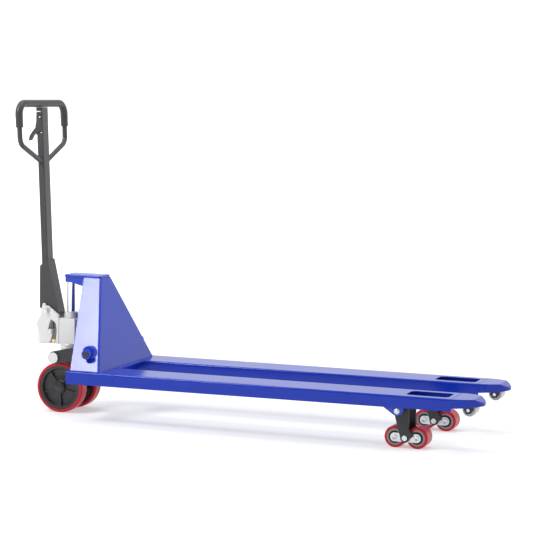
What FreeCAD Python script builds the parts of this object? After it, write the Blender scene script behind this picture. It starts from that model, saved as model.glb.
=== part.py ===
import FreeCAD, Part
import math
import os
import re

import Sketcher

# Hand pallet truck, drawn raised and unsteered, in millimetres. X runs from the handle to the fork
# tips, Y to the left, Z up from the floor. Every outline below is measured from the steering axle,
# and axle_x then puts the middle of the whole truck at X = 0.

SIZES = {
    # place of the steering axle along the truck
    "axle_x": -791,
    # forks: inverted channels bent from plate
    "fork_width": 160, "fork_pitch": 390, "fork_top": 200, "plate": 4, "fork_bend": 7,
    "fork_heel": 122, "fork_end": 1656, "fork_low_heel": 150, "fork_low_end": 155,
    "slot_back": 1476, "slot_front": 1636, "slot_width": 95, "slot_corner": 18,
    "hatch_back": 152, "hatch_front": 242, "hatch_width": 30,
    "nose_length": 107, "nose_low_back": 165, "nose_low_tip": 172, "nose_top_tip": 184,
    "nose_shoulder": 78,
    # heel plate and the bar that ties the forks below it
    "heel_foot_x": 254, "heel_foot_back": 131, "heel_foot_half": 255,
    "heel_top_x": 160, "heel_top_back": 84, "heel_top_half": 46, "heel_top_z": 540,
    "heel_wall_x": 4.2, "heel_wall_y": 4.8, "heel_bend": 9,
    "brace_back": 236, "brace_front": 278, "brace_low": 160, "fork_gap": 230,
    # lift head on top of the heel plate
    "head_front": -3, "head_back": 158, "head_top": 550, "head_sheet": 10, "head_half": 46,
    "cheek_half": 40, "cheek_sheet": 5, "cheek_low_back": 505, "cheek_low_front": 521,
    "cheek_knee": 74, "head_corner": 9, "head_edge": 5, "rod_socket_d": 48, "rod_socket_low": 516,
    # ram, pump and steering column on one upright axis
    "column_x": 7, "rod_d": 32, "rod_low": 366, "rod_top": 538, "bore_low": 245,
    "gland_d": 56, "gland_low": 371, "gland_top": 396, "fit": 0.05,
    "cylinder_d": 64, "pump_low": 264, "pump_top": 371, "neck_d": 60, "neck_low": 118,
    "housing_x": -106, "housing_d": 66, "housing_top": 354, "web_half": 27, "web_top": 350,
    "axle_boss_d": 52, "axle_boss_half": 37, "axle_z": 100, "axle_d": 25, "axle_half": 91,
    "axle_cap_d": 30, "axle_cap_long": 5,
    "ear_inner": 31, "ear_outer": 43, "ear_boss_d": 40, "handle_x": -80, "handle_z": 399,
    "ear_low": 268, "ear_front": -28, "ear_knee": 383, "ear_slope_x": -56, "ear_slope_z": 406,
    "ear_back": -110, "ear_belly_x": -128, "ear_belly_z": 343, "ear_heel": -103,
    "root_back": -114, "root_front": -84, "root_top": 345, "shoulder_back": -68, "block_half": 36,
    "nub_x": -94, "nub_top": 429, "nub_d": 15,
    "pivot_d": 16, "pivot_half": 46, "pivot_head_d": 22, "pivot_head_long": 4,
    "plunger_d": 18, "plunger_low": 296, "plunger_top": 382, "plunger_head_d": 26,
    "plunger_head_long": 6, "spring_d": 30, "spring_wire": 4, "spring_low": 322,
    "pocket_d": 36, "valve_x": -51, "valve_z": 279, "valve_d": 15, "valve_out": 43.5, "valve_in": 4,
    "release_x": -62, "release_z": 316, "release_pin_d": 8, "release_inner": 44.2, "release_sheet": 5,
    "release_seat": 10, "window_back": -78, "window_front": -37, "window_low": 271, "window_top": 366,
    "window_deep": 15,
    # crosshead that carries the pump on the rocker
    "cross_low": 203.5, "cross_top": 240, "cross_front": -36, "cross_back": 50, "cross_half": 66,
    "cross_corner": 18, "trunnion_x": -12, "trunnion_z": 223, "trunnion_d": 34, "trunnion_in": 101,
    "trunnion_pin_d": 20, "trunnion_out": 118, "cap_d": 43, "cap_long": 7,
    "thrust_d": 86, "thrust_gap": 0.3,
    # rocker: arms, torsion shaft and push levers
    "shaft_x": 195, "shaft_z": 265, "shaft_d": 24, "shaft_half": 252, "tube_d": 44,
    "arm_in": 102, "arm_out": 116, "arm_end_d": 50, "arm_root_d": 58, "arm_slot": 46,
    "arm_slot_wide": 23.6, "arm_slot_shift": 2, "boss_d": 38, "boss_in": 205,
    "boss_out": 249, "lever_d": 30, "lever_half": 5,
    "lever_pin_x": 221.6, "lever_pin_z": 168.6, "lever_eye_d": 24, "lever_pin_d": 12,
    # push rods
    "push_d": 18, "push_z": 169.5, "push_rear": 241, "push_front": 1450, "cheek_in": 6.5,
    "cheek_out": 13, "rear_fork_back": 207, "rear_slot_low": 158, "rear_slot_top": 176,
    "rear_fork_low": 153, "rear_fork_top": 181, "front_fork_tip": 1495, "front_slot_low": 163.5,
    "front_slot_top": 187.5, "front_fork_low": 160, "front_fork_top": 191,
    "front_fork_back": 1441, "yoke_eye_x": 1480.6, "yoke_eye_z": 170.4,
    # load roller yokes, brackets, links and rollers
    "yoke_x": 1454, "yoke_z": 141, "yoke_pin_d": 16, "yoke_tube_d": 28, "yoke_half": 67,
    "yoke_boss_d": 42, "arm_inner": 42.5, "arm_sheet": 8, "yoke_eye_d": 24, "bracket_in": 68,
    "bracket_out": 75.8, "bracket_back": 1405, "bracket_front": 1478, "bracket_top": 186,
    "bracket_d": 34, "bolt_out": 80, "bolt_d": 17, "bogie_x": 1478, "bogie_z": 40,
    "bogie_pin_d": 16, "bogie_head_d": 20, "bogie_head_long": 3, "bogie_eye_d": 34,
    "link_in": 35.5, "link_sheet": 4, "link_end_d": 32, "roller_step": 42, "roller_d": 80,
    "roller_core_d": 60, "roller_wide": 70, "roller_shoulder": 5, "roller_axle_d": 20,
    "roller_axle_half": 41.5, "hub_recess_d": 46, "hub_recess": 5,
    # entry rollers in the fork noses
    "entry_x": 1710, "entry_z": 158, "entry_d": 52, "entry_wide": 56, "entry_axle_d": 12,
    "entry_axle_half": 44, "entry_in": 32, "entry_sheet": 6, "entry_low": 144, "entry_top": 193,
    "entry_plate_back": 1692, "entry_plate_front": 1728,
    # steering wheels
    "wheel_pitch": 129, "wheel_d": 200, "wheel_wide": 50, "rim_d": 176, "rim_inner_d": 152,
    "rim_wide": 46, "web_wide": 10, "wheel_hub_d": 44, "wheel_shoulder": 7, "spoke": 7,
    "spoke_wide": 36, "spoke_count": 5,
    # drawbar: channel yoke, tube, loop, grip and hand lever
    "bar_low": 560, "bar_low_x": -98.3, "bar_top": 1209, "bar_top_x": -127.4, "bar_deep": 28,
    "bar_wide": 50, "bar_wall": 3, "bar_bend": 4, "lean": 2.57, "channel_half": 30,
    "channel_sheet": 5,
    "channel_front_top": 577, "channel_back_top": 604, "channel_front": -119, "channel_back": -84,
    "channel_tip_x": -36, "channel_tip_z": 394, "channel_toe": 384, "channel_boss_d": 38,
    "lobe_x": -99, "lobe_z": 392, "lobe_d": 18,
    "notch_low": 1107, "notch_top": 1196, "notch_half": 20, "tube_loop_d": 20, "grip_d": 29,
    "loop_half": 192.5, "loop_top": 1225, "loop_bend_z": 1067, "loop_join_z": 992, "loop_join_y": 18,
    "loop_corner": 45, "loop_elbow": 40, "grip_end": 1131, "tee_half": 33, "tee_low": 1210,
    "hand_x": -124, "hand_z": 1171, "hand_pin_d": 8, "hand_pin_half": 25, "hand_in": 14,
    "hand_sheet": 3, "hand_blade_half": 12, "hand_tip_x": -181, "hand_tip_z": 1076,
}

doc = FreeCAD.newDocument("pallet_truck")
sheet = doc.addObject("Spreadsheet::Sheet", "Dims")
for row, (alias, number) in enumerate(SIZES.items(), start=1):
    sheet.set(f"A{row}", alias)
    sheet.set(f"B{row}", str(number))
    sheet.setAlias(f"B{row}", alias)
doc.recompute()

NODES = []
ALONG = {
    "X": FreeCAD.Rotation(FreeCAD.Vector(0, 1, 0), 90),
    "Y": FreeCAD.Rotation(FreeCAD.Vector(1, 0, 0), -90),
    "Z": FreeCAD.Rotation(),
}
RIGHT = "-fork_pitch / 2"
LEFT = "fork_pitch / 2"
SIDES = (("right", RIGHT), ("left", LEFT))


def size(alias):
    """One number from the sheet."""
    return float(sheet.get(alias))


def bind(thing, field, words):
    """Binds a property to the sheet; every name in the expression is an alias."""
    thing.setExpression(field, re.sub(r"[a-z]\w*", lambda name: "Dims." + name.group(), str(words)))


def node(thing, label, y="0", x="axle_x", z="0"):
    """Labels a finished sub-part and places it in the truck's frame."""
    thing.Label = label
    for field, words in (("x", x), ("y", y), ("z", z)):
        bind(thing, "Placement.Base." + field, words)
    NODES.append(thing)
    return thing


def group(label, pieces, y="0"):
    """A single primitive, or several separate solids that share one node."""
    bundle = doc.addObject("Part::Compound", label + "_group")
    bundle.Links = pieces
    return node(bundle, label, y)


# Part primitives and booleans

def cylinder(name, across, x, y, z, long, axis="Y"):
    """A round bar of diameter across; x, y, z is the centre of its first end."""
    bar = doc.addObject("Part::Cylinder", name)
    bind(bar, "Radius", f"({across}) / 2")
    bind(bar, "Height", long)
    bar.Placement = FreeCAD.Placement(FreeCAD.Vector(), ALONG[axis])
    for field, words in (("x", x), ("y", y), ("z", z)):
        bind(bar, "Placement.Base." + field, words)
    return bar


def cross_bar(name, across, x, z, half):
    """A round bar along Y, centred on the truck's or the fork's middle plane."""
    return cylinder(name, across, x, f"-({half})", z, f"2 * ({half})")


def block(name, x, y, z):
    """A box from three pairs of low and high sides."""
    box = doc.addObject("Part::Box", name)
    for field, pair in (("Length", x), ("Width", y), ("Height", z)):
        bind(box, field, f"({pair[1]}) - ({pair[0]})")
    for field, pair in (("x", x), ("y", y), ("z", z)):
        bind(box, "Placement.Base." + field, pair[0])
    return box


def fuse(name, pieces):
    joined = doc.addObject("Part::MultiFuse", name)
    joined.Shapes = pieces
    joined.Refine = True
    return joined


def cut(name, base, tool):
    rest = doc.addObject("Part::Cut", name)
    rest.Base = base
    rest.Tool = tool
    return rest


# sketches and PartDesign features

def new_body(name):
    return doc.addObject("PartDesign::Body", name)


def outline(owner, name, plane, corners, offset="0"):
    """A closed polygon on an origin plane; each corner is a pair of sheet expressions."""
    sketch = owner.newObject("Sketcher::SketchObject", name)
    support = [plane_of for plane_of in owner.Origin.OriginFeatures if plane_of.Role == plane][0]
    sketch.AttachmentSupport = [(support, "")]
    sketch.MapMode = "FlatFace"
    bind(sketch, "AttachmentOffset.Base.z", offset)
    count = len(corners)
    spots = [FreeCAD.Vector(math.cos(math.tau * i / count), math.sin(math.tau * i / count))
             for i in range(count)]
    for i in range(count):
        sketch.addGeometry(Part.LineSegment(spots[i], spots[(i + 1) % count]), False)
    for i in range(count):
        sketch.addConstraint(Sketcher.Constraint("Coincident", i, 2, (i + 1) % count, 1))
    for i, corner in enumerate(corners):
        for kind, place, words in (("DistanceX", spots[i].x, corner[0]),
                                   ("DistanceY", spots[i].y, corner[1])):
            number = sketch.addConstraint(Sketcher.Constraint(kind, -1, 1, i, 1, place))
            bind(sketch, f"Constraints[{number}]", words)
    return sketch


def pad(body, sketch, long, middle=True):
    feature = body.newObject("PartDesign::Pad", sketch.Name + "_pad")
    feature.Profile = sketch
    bind(feature, "Length", long)
    feature.Midplane = middle
    return feature


def pocket(body, sketch, long, middle=True):
    feature = body.newObject("PartDesign::Pocket", sketch.Name + "_pocket")
    feature.Profile = sketch
    bind(feature, "Length", long)
    feature.Midplane = middle
    return feature


def turn(body, sketch):
    """Turns a profile about the sketch's upright axis."""
    feature = body.newObject("PartDesign::Revolution", sketch.Name + "_turn")
    feature.Profile = sketch
    feature.ReferenceAxis = (sketch, ["V_Axis"])
    feature.Angle = 360
    return feature


def soften(body, radius, wanted):
    """Fillets the edges of the body's last feature that a test picks."""
    doc.recompute()
    base = body.Tip
    names = [f"Edge{i}" for i, edge in enumerate(base.Shape.Edges, start=1) if wanted(edge)]
    feature = body.newObject("PartDesign::Fillet", base.Name + "_soft")
    feature.Base = (base, names)
    bind(feature, "Radius", radius)
    return feature


def near(value, target, slack=0.05):
    return abs(value - target) < slack


def lies_at(edge, axis, target):
    """True if both ends of an edge have the same coordinate along an axis."""
    box = edge.BoundBox
    low, high = {"x": (box.XMin, box.XMax), "y": (box.YMin, box.YMax), "z": (box.ZMin, box.ZMax)}[axis]
    return near(low, target) and near(high, target)


# forks

def fork(side, y):
    """Plate bent into an inverted channel, with the roller slot near its tip."""
    half = "fork_width / 2"
    body = new_body(side + "_fork_body")
    face = outline(body, side + "_fork_face", "XZ_Plane",
                   [("fork_heel", "fork_top"), ("fork_heel", "fork_low_heel"),
                    ("fork_end", "fork_low_end"), ("fork_end", "fork_top")])
    pad(body, face, "fork_width")
    soften(body, "fork_bend", lambda edge: lies_at(edge, "z", size("fork_top"))
           and near(abs(edge.BoundBox.YMin), size("fork_width") / 2)
           and near(edge.BoundBox.YMin, edge.BoundBox.YMax))
    inside = outline(body, side + "_fork_inside", "YZ_Plane",
                     [(f"{half} - plate", "fork_top - plate"), (f"plate - {half}", "fork_top - plate"),
                      (f"plate - {half}", "fork_low_heel - 5"), (f"{half} - plate", "fork_low_heel - 5")])
    pocket(body, inside, "4 * fork_end")
    slot = outline(body, side + "_fork_slot", "XY_Plane",
                   [("slot_back", "slot_width / 2"), ("slot_back", "-slot_width / 2"),
                    ("slot_front", "-slot_width / 2"), ("slot_front", "slot_width / 2")])
    pocket(body, slot, "3 * fork_top")
    soften(body, "slot_corner", lambda edge: near(edge.Length, size("plate"))
           and near(abs(edge.BoundBox.YMin), size("slot_width") / 2)
           and near(edge.BoundBox.YMin, edge.BoundBox.YMax))
    hatch = outline(body, side + "_fork_hatch", "XY_Plane",
                    [("hatch_back", "hatch_width / 2"), ("hatch_back", "-hatch_width / 2"),
                     ("hatch_front", "-hatch_width / 2"), ("hatch_front", "hatch_width / 2")])
    pocket(body, hatch, "3 * fork_top")
    node(body, side + "_fork", y)


def nose_solid(name, inset):
    """The space inside the fork nose's skin: a half-oval in plan under a rounded top."""
    oval = doc.addObject("Part::Ellipse", name + "_oval")
    bind(oval, "MajorRadius", f"nose_length - {inset}")
    bind(oval, "MinorRadius", f"fork_width / 2 - {inset}")
    bind(oval, "Placement.Base.x", "fork_end")
    plan = doc.addObject("Part::Extrusion", name + "_plan")
    plan.Base = oval
    plan.DirMode = "Custom"
    plan.Dir = FreeCAD.Vector(0, 0, 1)
    bind(plan, "LengthFwd", "fork_top + 50")
    plan.Solid = True
    body = new_body(name + "_side")
    end = "fork_end + nose_length"
    low = "nose_low_back" if inset == "0" else "fork_low_heel - 5"
    low_tip = "nose_low_tip" if inset == "0" else "fork_low_heel - 5"
    face = outline(body, name + "_profile", "XZ_Plane",
                   [("fork_end", f"fork_top - {inset}"), ("fork_end", low), (end, low_tip),
                    (end, f"nose_top_tip - {inset}"),
                    ("fork_end + nose_shoulder", f"fork_top - {inset}")])
    pad(body, face, "fork_width")
    soften(body, "nose_shoulder / 4",
           lambda edge: lies_at(edge, "x", size("fork_end") + size("nose_shoulder")))
    both = doc.addObject("Part::MultiCommon", name)
    both.Shapes = [plan, body]
    return both


def fork_tip(side, y):
    """Pressed nose welded to the fork's end, open below."""
    skin = nose_solid(side + "_nose_skin", "0")
    hollow = nose_solid(side + "_nose_hollow", "plate")
    shell = cut(side + "_nose_shell", skin, hollow)
    node(shell, side + "_fork_tip", y)


# frame behind and above the forks

def heel_block(name, inset_x, inset_y, reach):
    """Solid that tapers from the forks up to the lift head, inset from the plate's outside."""
    wedge = doc.addObject("Part::Wedge", name)
    for field, words in (
            ("Ymin", "fork_top"), ("Ymax", "heel_top_z"),
            ("Xmin", f"heel_foot_back - {reach}"), ("Xmax", f"heel_foot_x - {inset_x}"),
            ("Zmin", f"{inset_y} - heel_foot_half"), ("Zmax", f"heel_foot_half - {inset_y}"),
            ("X2min", f"heel_top_back - {reach}"), ("X2max", f"heel_top_x - {inset_x}"),
            ("Z2min", f"{inset_y} - heel_top_half"), ("Z2max", f"heel_top_half - {inset_y}")):
        bind(wedge, field, words)
    wedge.Placement = FreeCAD.Placement(FreeCAD.Vector(), FreeCAD.Rotation(FreeCAD.Vector(1, 0, 0), 90))
    doc.recompute()
    return wedge


def bend_edges(name, wedge, radius):
    """Rounds the two slanting front edges, as the press brake leaves them."""
    edges = [i for i, edge in enumerate(wedge.Shape.Edges, start=1)
             if edge.BoundBox.ZLength > 100 and all(spot.X > size("heel_top_back") + 10
                                                    for spot in edge.Vertexes)]
    slanting = [i for i in edges if near(wedge.Shape.Edges[i - 1].BoundBox.XMax,
                                         wedge.Shape.BoundBox.XMax)]
    bent = doc.addObject("Part::Fillet", name)
    bent.Base = wedge
    bent.Edges = [(i, radius, radius) for i in slanting]
    return bent


def heel_plate():
    """One leaning plate with both edges bent back, wide at the forks and narrow at the head."""
    bend = size("heel_bend")
    outside = bend_edges("heel_bend_out", heel_block("heel_outside", "0", "0", "0"), bend)
    inside = bend_edges("heel_bend_in", heel_block("heel_inside", "heel_wall_x", "heel_wall_y", "40"),
                        bend - size("plate"))
    hole = cross_bar("heel_holes", "boss_d + 2 * fit", "shaft_x", "shaft_z", "heel_foot_half + 20")
    node(cut("heel_bored", cut("heel_bent", outside, inside), hole), "heel_plate")


def cross_brace():
    """Angle section welded across between the two forks, under the heel plate."""
    body = new_body("brace_body")
    face = outline(body, "brace_face", "XZ_Plane",
                   [("brace_back", "fork_top"), ("brace_back", "brace_low"),
                    ("brace_back + plate", "brace_low"), ("brace_back + plate", "fork_top - plate"),
                    ("brace_front", "fork_top - plate"), ("brace_front", "fork_top")])
    pad(body, face, "fork_gap")
    node(body, "cross_brace")


def lift_head():
    """Thick cap over the heel plate with two cheeks and the socket that the ram pushes."""
    body = new_body("head_body")
    cap = outline(body, "head_cap", "XY_Plane",
                  [("head_front", "head_half"), ("head_front", "-head_half"),
                   ("head_back", "-head_half"), ("head_back", "head_half")], "head_top - head_sheet")
    pad(body, cap, "head_sheet", False)
    soften(body, "head_corner", lambda edge: near(edge.BoundBox.ZLength, size("head_sheet")))
    soften(body, "head_edge", lambda edge: lies_at(edge, "z", size("head_top")))
    under = "head_top - head_sheet"
    for name, y in (("cheek_right", "cheek_half"), ("cheek_left", "cheek_sheet - cheek_half")):
        cheek = outline(body, name, "XZ_Plane",
                        [("head_front + 6", under), ("head_front + 6", "cheek_low_front + 4"),
                         ("head_front + 14", "cheek_low_front"), ("cheek_knee", "cheek_low_back"),
                         ("head_back - 8", "cheek_low_back"), ("head_back - 8", under)],
                        f"{y} - cheek_sheet")
        pad(body, cheek, "cheek_sheet", False)
    doc.recompute()
    socket = cylinder("rod_socket", "rod_socket_d", "column_x", "0", "rod_socket_low",
                      "head_top - head_sheet - rod_socket_low", "Z")
    hole = cylinder("rod_seat", "rod_d + 2 * fit", "column_x", "0", "rod_socket_low - 5",
                    "rod_top - rod_socket_low + 5.5", "Z")
    node(cut("head_bored", fuse("head_whole", [body, socket]), hole), "lift_head")


def shaft_bosses():
    """Blue sleeves through the heel plate's edges that carry the torsion shaft."""
    pieces = []
    for name, sign in (("right", "-1"), ("left", "1")):
        low = "boss_in" if sign == "1" else "-boss_out"
        sleeve = cylinder(name + "_sleeve", "boss_d", "shaft_x", low, "shaft_z", "boss_out - boss_in")
        hole = cylinder(name + "_sleeve_bore", "shaft_d + 2 * fit", "shaft_x", f"{low} - 1", "shaft_z",
                        "boss_out - boss_in + 2")
        pieces.append(cut(name + "_boss", sleeve, hole))
    group("shaft_bosses", pieces)


def fork_brackets():
    """Cheeks welded inside each fork that hold the yoke pins."""
    pieces = []
    for side, middle in SIDES:
        for hand, low in (("inner", "-bracket_out"), ("outer", "bracket_in")):
            name = f"{side}_{hand}_bracket"
            body = new_body(name + "_plate")
            face = outline(body, name + "_face", "XZ_Plane",
                           [("bracket_back", "bracket_top"), ("bracket_back", "fork_low_heel + 2"),
                            ("yoke_x - bracket_d / 2.6", "yoke_z - bracket_d / 2.6"),
                            ("yoke_x + bracket_d / 2.6", "yoke_z - bracket_d / 2.6"),
                            ("bracket_front", "yoke_z"), ("bracket_front", "bracket_top")],
                           f"-({middle} + {low}) - (bracket_out - bracket_in)")
            pad(body, face, "bracket_out - bracket_in", False)
            disc = cylinder(name + "_disc", "bracket_d", "yoke_x", f"{middle} + {low}", "yoke_z",
                            "bracket_out - bracket_in")
            hole = cylinder(name + "_hole", "yoke_pin_d + 2 * fit", "yoke_x", f"{middle} + {low} - 1",
                            "yoke_z", "bracket_out - bracket_in + 2")
            pieces.append(cut(name, fuse(name + "_whole", [body, disc]), hole))
    group("yoke_brackets", pieces)


def yoke_pins():
    """Bolts that the load roller yokes swing on, one across each fork."""
    pieces = []
    for side, middle in SIDES:
        shank = cylinder(side + "_yoke_shank", "yoke_pin_d", "yoke_x", f"{middle} - bracket_out", "yoke_z",
                         "2 * bracket_out")
        heads = [cylinder(f"{side}_{hand}_bolt_head", "bolt_d", "yoke_x", f"{middle} + {low}", "yoke_z",
                          "bolt_out - bracket_out")
                 for hand, low in (("inner", "-bolt_out"), ("outer", "bracket_out"))]
        pieces.append(fuse(side + "_yoke_bolt", [shank] + heads))
    group("yoke_pins", pieces)


def entry_fittings():
    """Brackets and axles of the small rollers in the fork noses."""
    brackets = []
    axles = []
    for side, middle in SIDES:
        for hand, low in (("inner", "-entry_in - entry_sheet"), ("outer", "entry_in")):
            name = f"{side}_{hand}_entry"
            body = new_body(name + "_plate")
            face = outline(body, name + "_face", "XZ_Plane",
                           [("entry_plate_back", "entry_top"), ("entry_plate_back", "entry_z"),
                            ("entry_x - 8", "entry_low"), ("entry_x + 8", "entry_low"),
                            ("entry_plate_front", "entry_z"), ("entry_plate_front", "entry_top")],
                           f"-({middle} + {low}) - entry_sheet")
            pad(body, face, "entry_sheet", False)
            hole = cylinder(name + "_hole", "entry_axle_d + 2 * fit", "entry_x", f"{middle} + {low} - 1",
                            "entry_z", "entry_sheet + 2")
            brackets.append(cut(name, body, hole))
        axles.append(cylinder(side + "_entry_pin", "entry_axle_d", "entry_x",
                              f"{middle} - entry_axle_half", "entry_z", "2 * entry_axle_half"))
    group("entry_roller_brackets", brackets)
    group("entry_roller_axles", axles)


def entry_roller(side, y):
    """Plain nylon roller that helps the fork climb into a pallet."""
    roller = cross_bar(side + "_entry_solid", "entry_d", "entry_x", "entry_z", "entry_wide / 2")
    hole = cross_bar(side + "_entry_bore", "entry_axle_d + 2 * fit", "entry_x", "entry_z", "entry_wide")
    node(cut(side + "_entry_turned", roller, hole), side + "_entry_roller", y)


# pump unit

def piston_rod():
    """Chromed ram, fixed in the lift head."""
    rod = cylinder("ram", "rod_d", "column_x", "0", "rod_low", "rod_top - rod_low", "Z")
    group("piston_rod", [rod])


def pump_body():
    """Casting with the lift cylinder, the pump housing, the handle's ears, the neck and the axle boss."""
    solids = [
        cylinder("lift_cylinder", "cylinder_d", "column_x", "0", "pump_low", "pump_top - pump_low", "Z"),
        cylinder("plunger_housing", "housing_d", "housing_x", "0", "pump_low",
                 "housing_top - pump_low", "Z"),
        cylinder("neck", "neck_d", "column_x", "0", "neck_low", "pump_low - neck_low + 6", "Z"),
        block("web", ("housing_x", "column_x"), ("-web_half", "web_half"), ("pump_low + 4", "web_top")),
        block("shoulder", ("shoulder_back", "column_x"), ("-web_half", "web_half"),
              ("web_top - 20", "pump_top")),
        block("cylinder_block", ("column_x - block_half", "column_x + block_half"),
              ("3 - ear_outer", "ear_outer - 3"), ("ear_low", "pump_top")),
        cylinder("neck_collar", "thrust_d", "column_x", "0", "pump_low - 16", "20", "Z"),
        cross_bar("axle_boss", "axle_boss_d", "0", "axle_z", "axle_boss_half"),
    ]
    nub_z = "nub_top - nub_d / 2"
    for hand, low, high in (("right", "-ear_outer", "-ear_inner"), ("left", "ear_inner", "ear_outer")):
        body = new_body(hand + "_ear_body")
        face = outline(body, hand + "_ear_face", "XZ_Plane",
                       [("ear_front", "ear_low"), ("ear_front", "ear_knee"),
                        ("ear_slope_x", "ear_slope_z"), ("nub_x + nub_d / 2", "nub_top - 14"),
                        ("nub_x + nub_d / 2", nub_z), ("nub_x - nub_d / 2", nub_z),
                        ("ear_back", "ear_knee"), ("ear_belly_x", "ear_belly_z"),
                        ("ear_heel", "ear_low")],
                       f"-({low} + {high}) / 2")
        pad(body, face, "ear_outer - ear_inner")
        solids.append(body)
        solids.append(cylinder(hand + "_nub", "nub_d", "nub_x", low, nub_z, f"({high}) - ({low})"))
        solids.append(cylinder(hand + "_ear_boss", "ear_boss_d", "handle_x", low, "handle_z",
                               f"({high}) - ({low})"))
        root = ("-ear_outer", "6 - web_half") if hand == "right" else ("web_half - 6", "ear_outer")
        solids.append(block(hand + "_ear_root", ("root_back", "root_front"), root,
                            ("ear_low", "root_top")))
    window = new_body("window_body")
    leaf = outline(window, "window_leaf", "XZ_Plane",
                   [("window_back + 16", "window_top"), ("window_front - 5", "window_top - 16"),
                    ("window_front", "window_top - 41"), ("window_front - 3", "window_low + 19"),
                    ("window_front - 15", "window_low"), ("window_back + 12", "window_low + 4"),
                    ("window_back", "window_low + 27"), ("window_back + 6", "window_top - 31")],
                   "window_deep")
    pad(window, leaf, "ear_outer + 1 - window_deep", False)
    tools = [
        cylinder("ram_bore", "rod_d + 4", "column_x", "0", "bore_low", "pump_top - bore_low + 5", "Z"),
        cylinder("plunger_bore", "plunger_d + 2 * fit", "housing_x", "0", "plunger_low - 25",
                 "housing_top - plunger_low + 30", "Z"),
        cylinder("spring_pocket", "pocket_d", "housing_x", "0", "spring_low - 0.4",
                 "housing_top - spring_low + 30", "Z"),
        cylinder("valve_port", "valve_d + 2 * fit", "valve_x", "-ear_outer - 1", "valve_z",
                 "ear_outer + 3 - valve_in"),
        cylinder("release_port", "release_pin_d + 2 * fit", "release_x", "-ear_outer - 1", "release_z",
                 "ear_outer + 3 - release_seat"),
        cross_bar("pivot_bore", "pivot_d + 2 * fit", "handle_x", "handle_z", "ear_outer + 3"),
        cross_bar("axle_bore", "axle_d + 2 * fit", "0", "axle_z", "axle_boss_half + 3"),
        window,
    ]
    node(cut("pump_cast", fuse("pump_solids", solids), fuse("pump_tools", tools)), "pump_body")


def rod_gland():
    """Screwed ring that seals the ram at the top of the cylinder."""
    ring = cylinder("gland_ring", "gland_d", "column_x", "0", "gland_low", "gland_top - gland_low", "Z")
    hole = cylinder("gland_bore", "rod_d + 2 * fit", "column_x", "0", "gland_low - 1",
                    "gland_top - gland_low + 2", "Z")
    node(cut("gland", ring, hole), "rod_gland")


def wheel_axle():
    """Axle through the neck, with a round cap outside each steering wheel."""
    shank = cross_bar("axle_shank", "axle_d", "0", "axle_z", "axle_half")
    caps = [cylinder(name, "axle_cap_d", "0", low, "axle_z", "axle_cap_long")
            for name, low in (("right_axle_cap", "-axle_half - axle_cap_long"),
                              ("left_axle_cap", "axle_half"))]
    node(fuse("axle_whole", [shank] + caps), "wheel_axle")


def handle_pivot():
    """Headed pin that the drawbar turns on."""
    shank = cross_bar("pivot_shank", "pivot_d", "handle_x", "handle_z", "pivot_half")
    head = cylinder("pivot_head", "pivot_head_d", "handle_x", "-pivot_half - pivot_head_long + 2",
                    "handle_z", "pivot_head_long")
    node(fuse("pivot_whole", [shank, head]), "handle_pivot_pin")


def relief_valve():
    """Brass valve screwed into the side of the pump."""
    stem = cylinder("valve_stem", "valve_d", "valve_x", "-valve_out", "valve_z",
                    "valve_out - valve_in")
    group("relief_valve", [stem])


def plunger():
    """Pump plunger and the spring that lifts it again."""
    shank = cylinder("plunger_shank", "plunger_d", "housing_x", "0", "plunger_low",
                     "plunger_top - plunger_low", "Z")
    head = cylinder("plunger_disc", "plunger_head_d", "housing_x", "0", "plunger_top - plunger_head_long",
                    "plunger_head_long", "Z")
    node(fuse("plunger_whole", [shank, head]), "pump_plunger")
    coil = cylinder("spring_outside", "spring_d", "housing_x", "0", "spring_low",
                    "plunger_top - plunger_head_long - 0.3 - spring_low", "Z")
    core = cylinder("spring_inside", "spring_d - 2 * spring_wire", "housing_x", "0", "spring_low - 1",
                    "plunger_top - spring_low + 2", "Z")
    node(cut("spring_sleeve", coil, core), "plunger_spring")


def release_lever():
    """Small cast lever that opens the lowering valve."""
    body = new_body("release_body")
    face = outline(body, "release_face", "XZ_Plane",
                   [("release_x - 9", "release_z + 8"), ("release_x - 15", "release_z - 12"),
                    ("release_x - 14", "release_z - 34"), ("release_x - 7", "release_z - 42"),
                    ("release_x + 2", "release_z - 38"), ("release_x + 8", "release_z - 14"),
                    ("release_x + 8", "release_z + 8"), ("release_x", "release_z + 12")],
                   "release_inner")
    pad(body, face, "release_sheet", False)
    pin = cylinder("release_pin", "release_pin_d", "release_x", "-release_inner", "release_z",
                   "release_inner - release_seat")
    node(fuse("release_whole", [body, pin]), "release_lever")


def crosshead():
    """Carrier that the steering neck turns in; the rocker lifts it by its two trunnions."""
    body = new_body("cross_body")
    plan = outline(body, "cross_plan", "XY_Plane",
                   [("cross_front", "cross_half"), ("cross_front", "-cross_half"),
                    ("cross_back", "-cross_half"), ("cross_back", "cross_half")], "cross_low")
    pad(body, plan, "cross_top - cross_low", False)
    soften(body, "cross_corner", lambda edge: near(edge.BoundBox.ZLength, size("cross_top")
                                                   - size("cross_low")))
    bar = cross_bar("trunnion_bar", "trunnion_d", "trunnion_x", "trunnion_z", "trunnion_in")
    pins = cross_bar("trunnion_stub", "trunnion_pin_d", "trunnion_x", "trunnion_z", "trunnion_out")
    hole = cylinder("neck_bore", "neck_d + 2 * fit", "column_x", "0", "cross_low - 5",
                    "cross_top - cross_low + 10", "Z")
    node(cut("cross_bored", fuse("cross_whole", [body, bar, pins]), hole), "crosshead")
    caps = []
    for name, low in (("right_cap", "-trunnion_out"), ("left_cap", "trunnion_out - cap_long")):
        outside = cylinder(name + "_disc", "cap_d", "trunnion_x",
                           "-trunnion_out - cap_long" if "right" in name else "trunnion_out",
                           "trunnion_z", "cap_long")
        caps.append(outside)
    group("trunnion_caps", caps)


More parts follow.
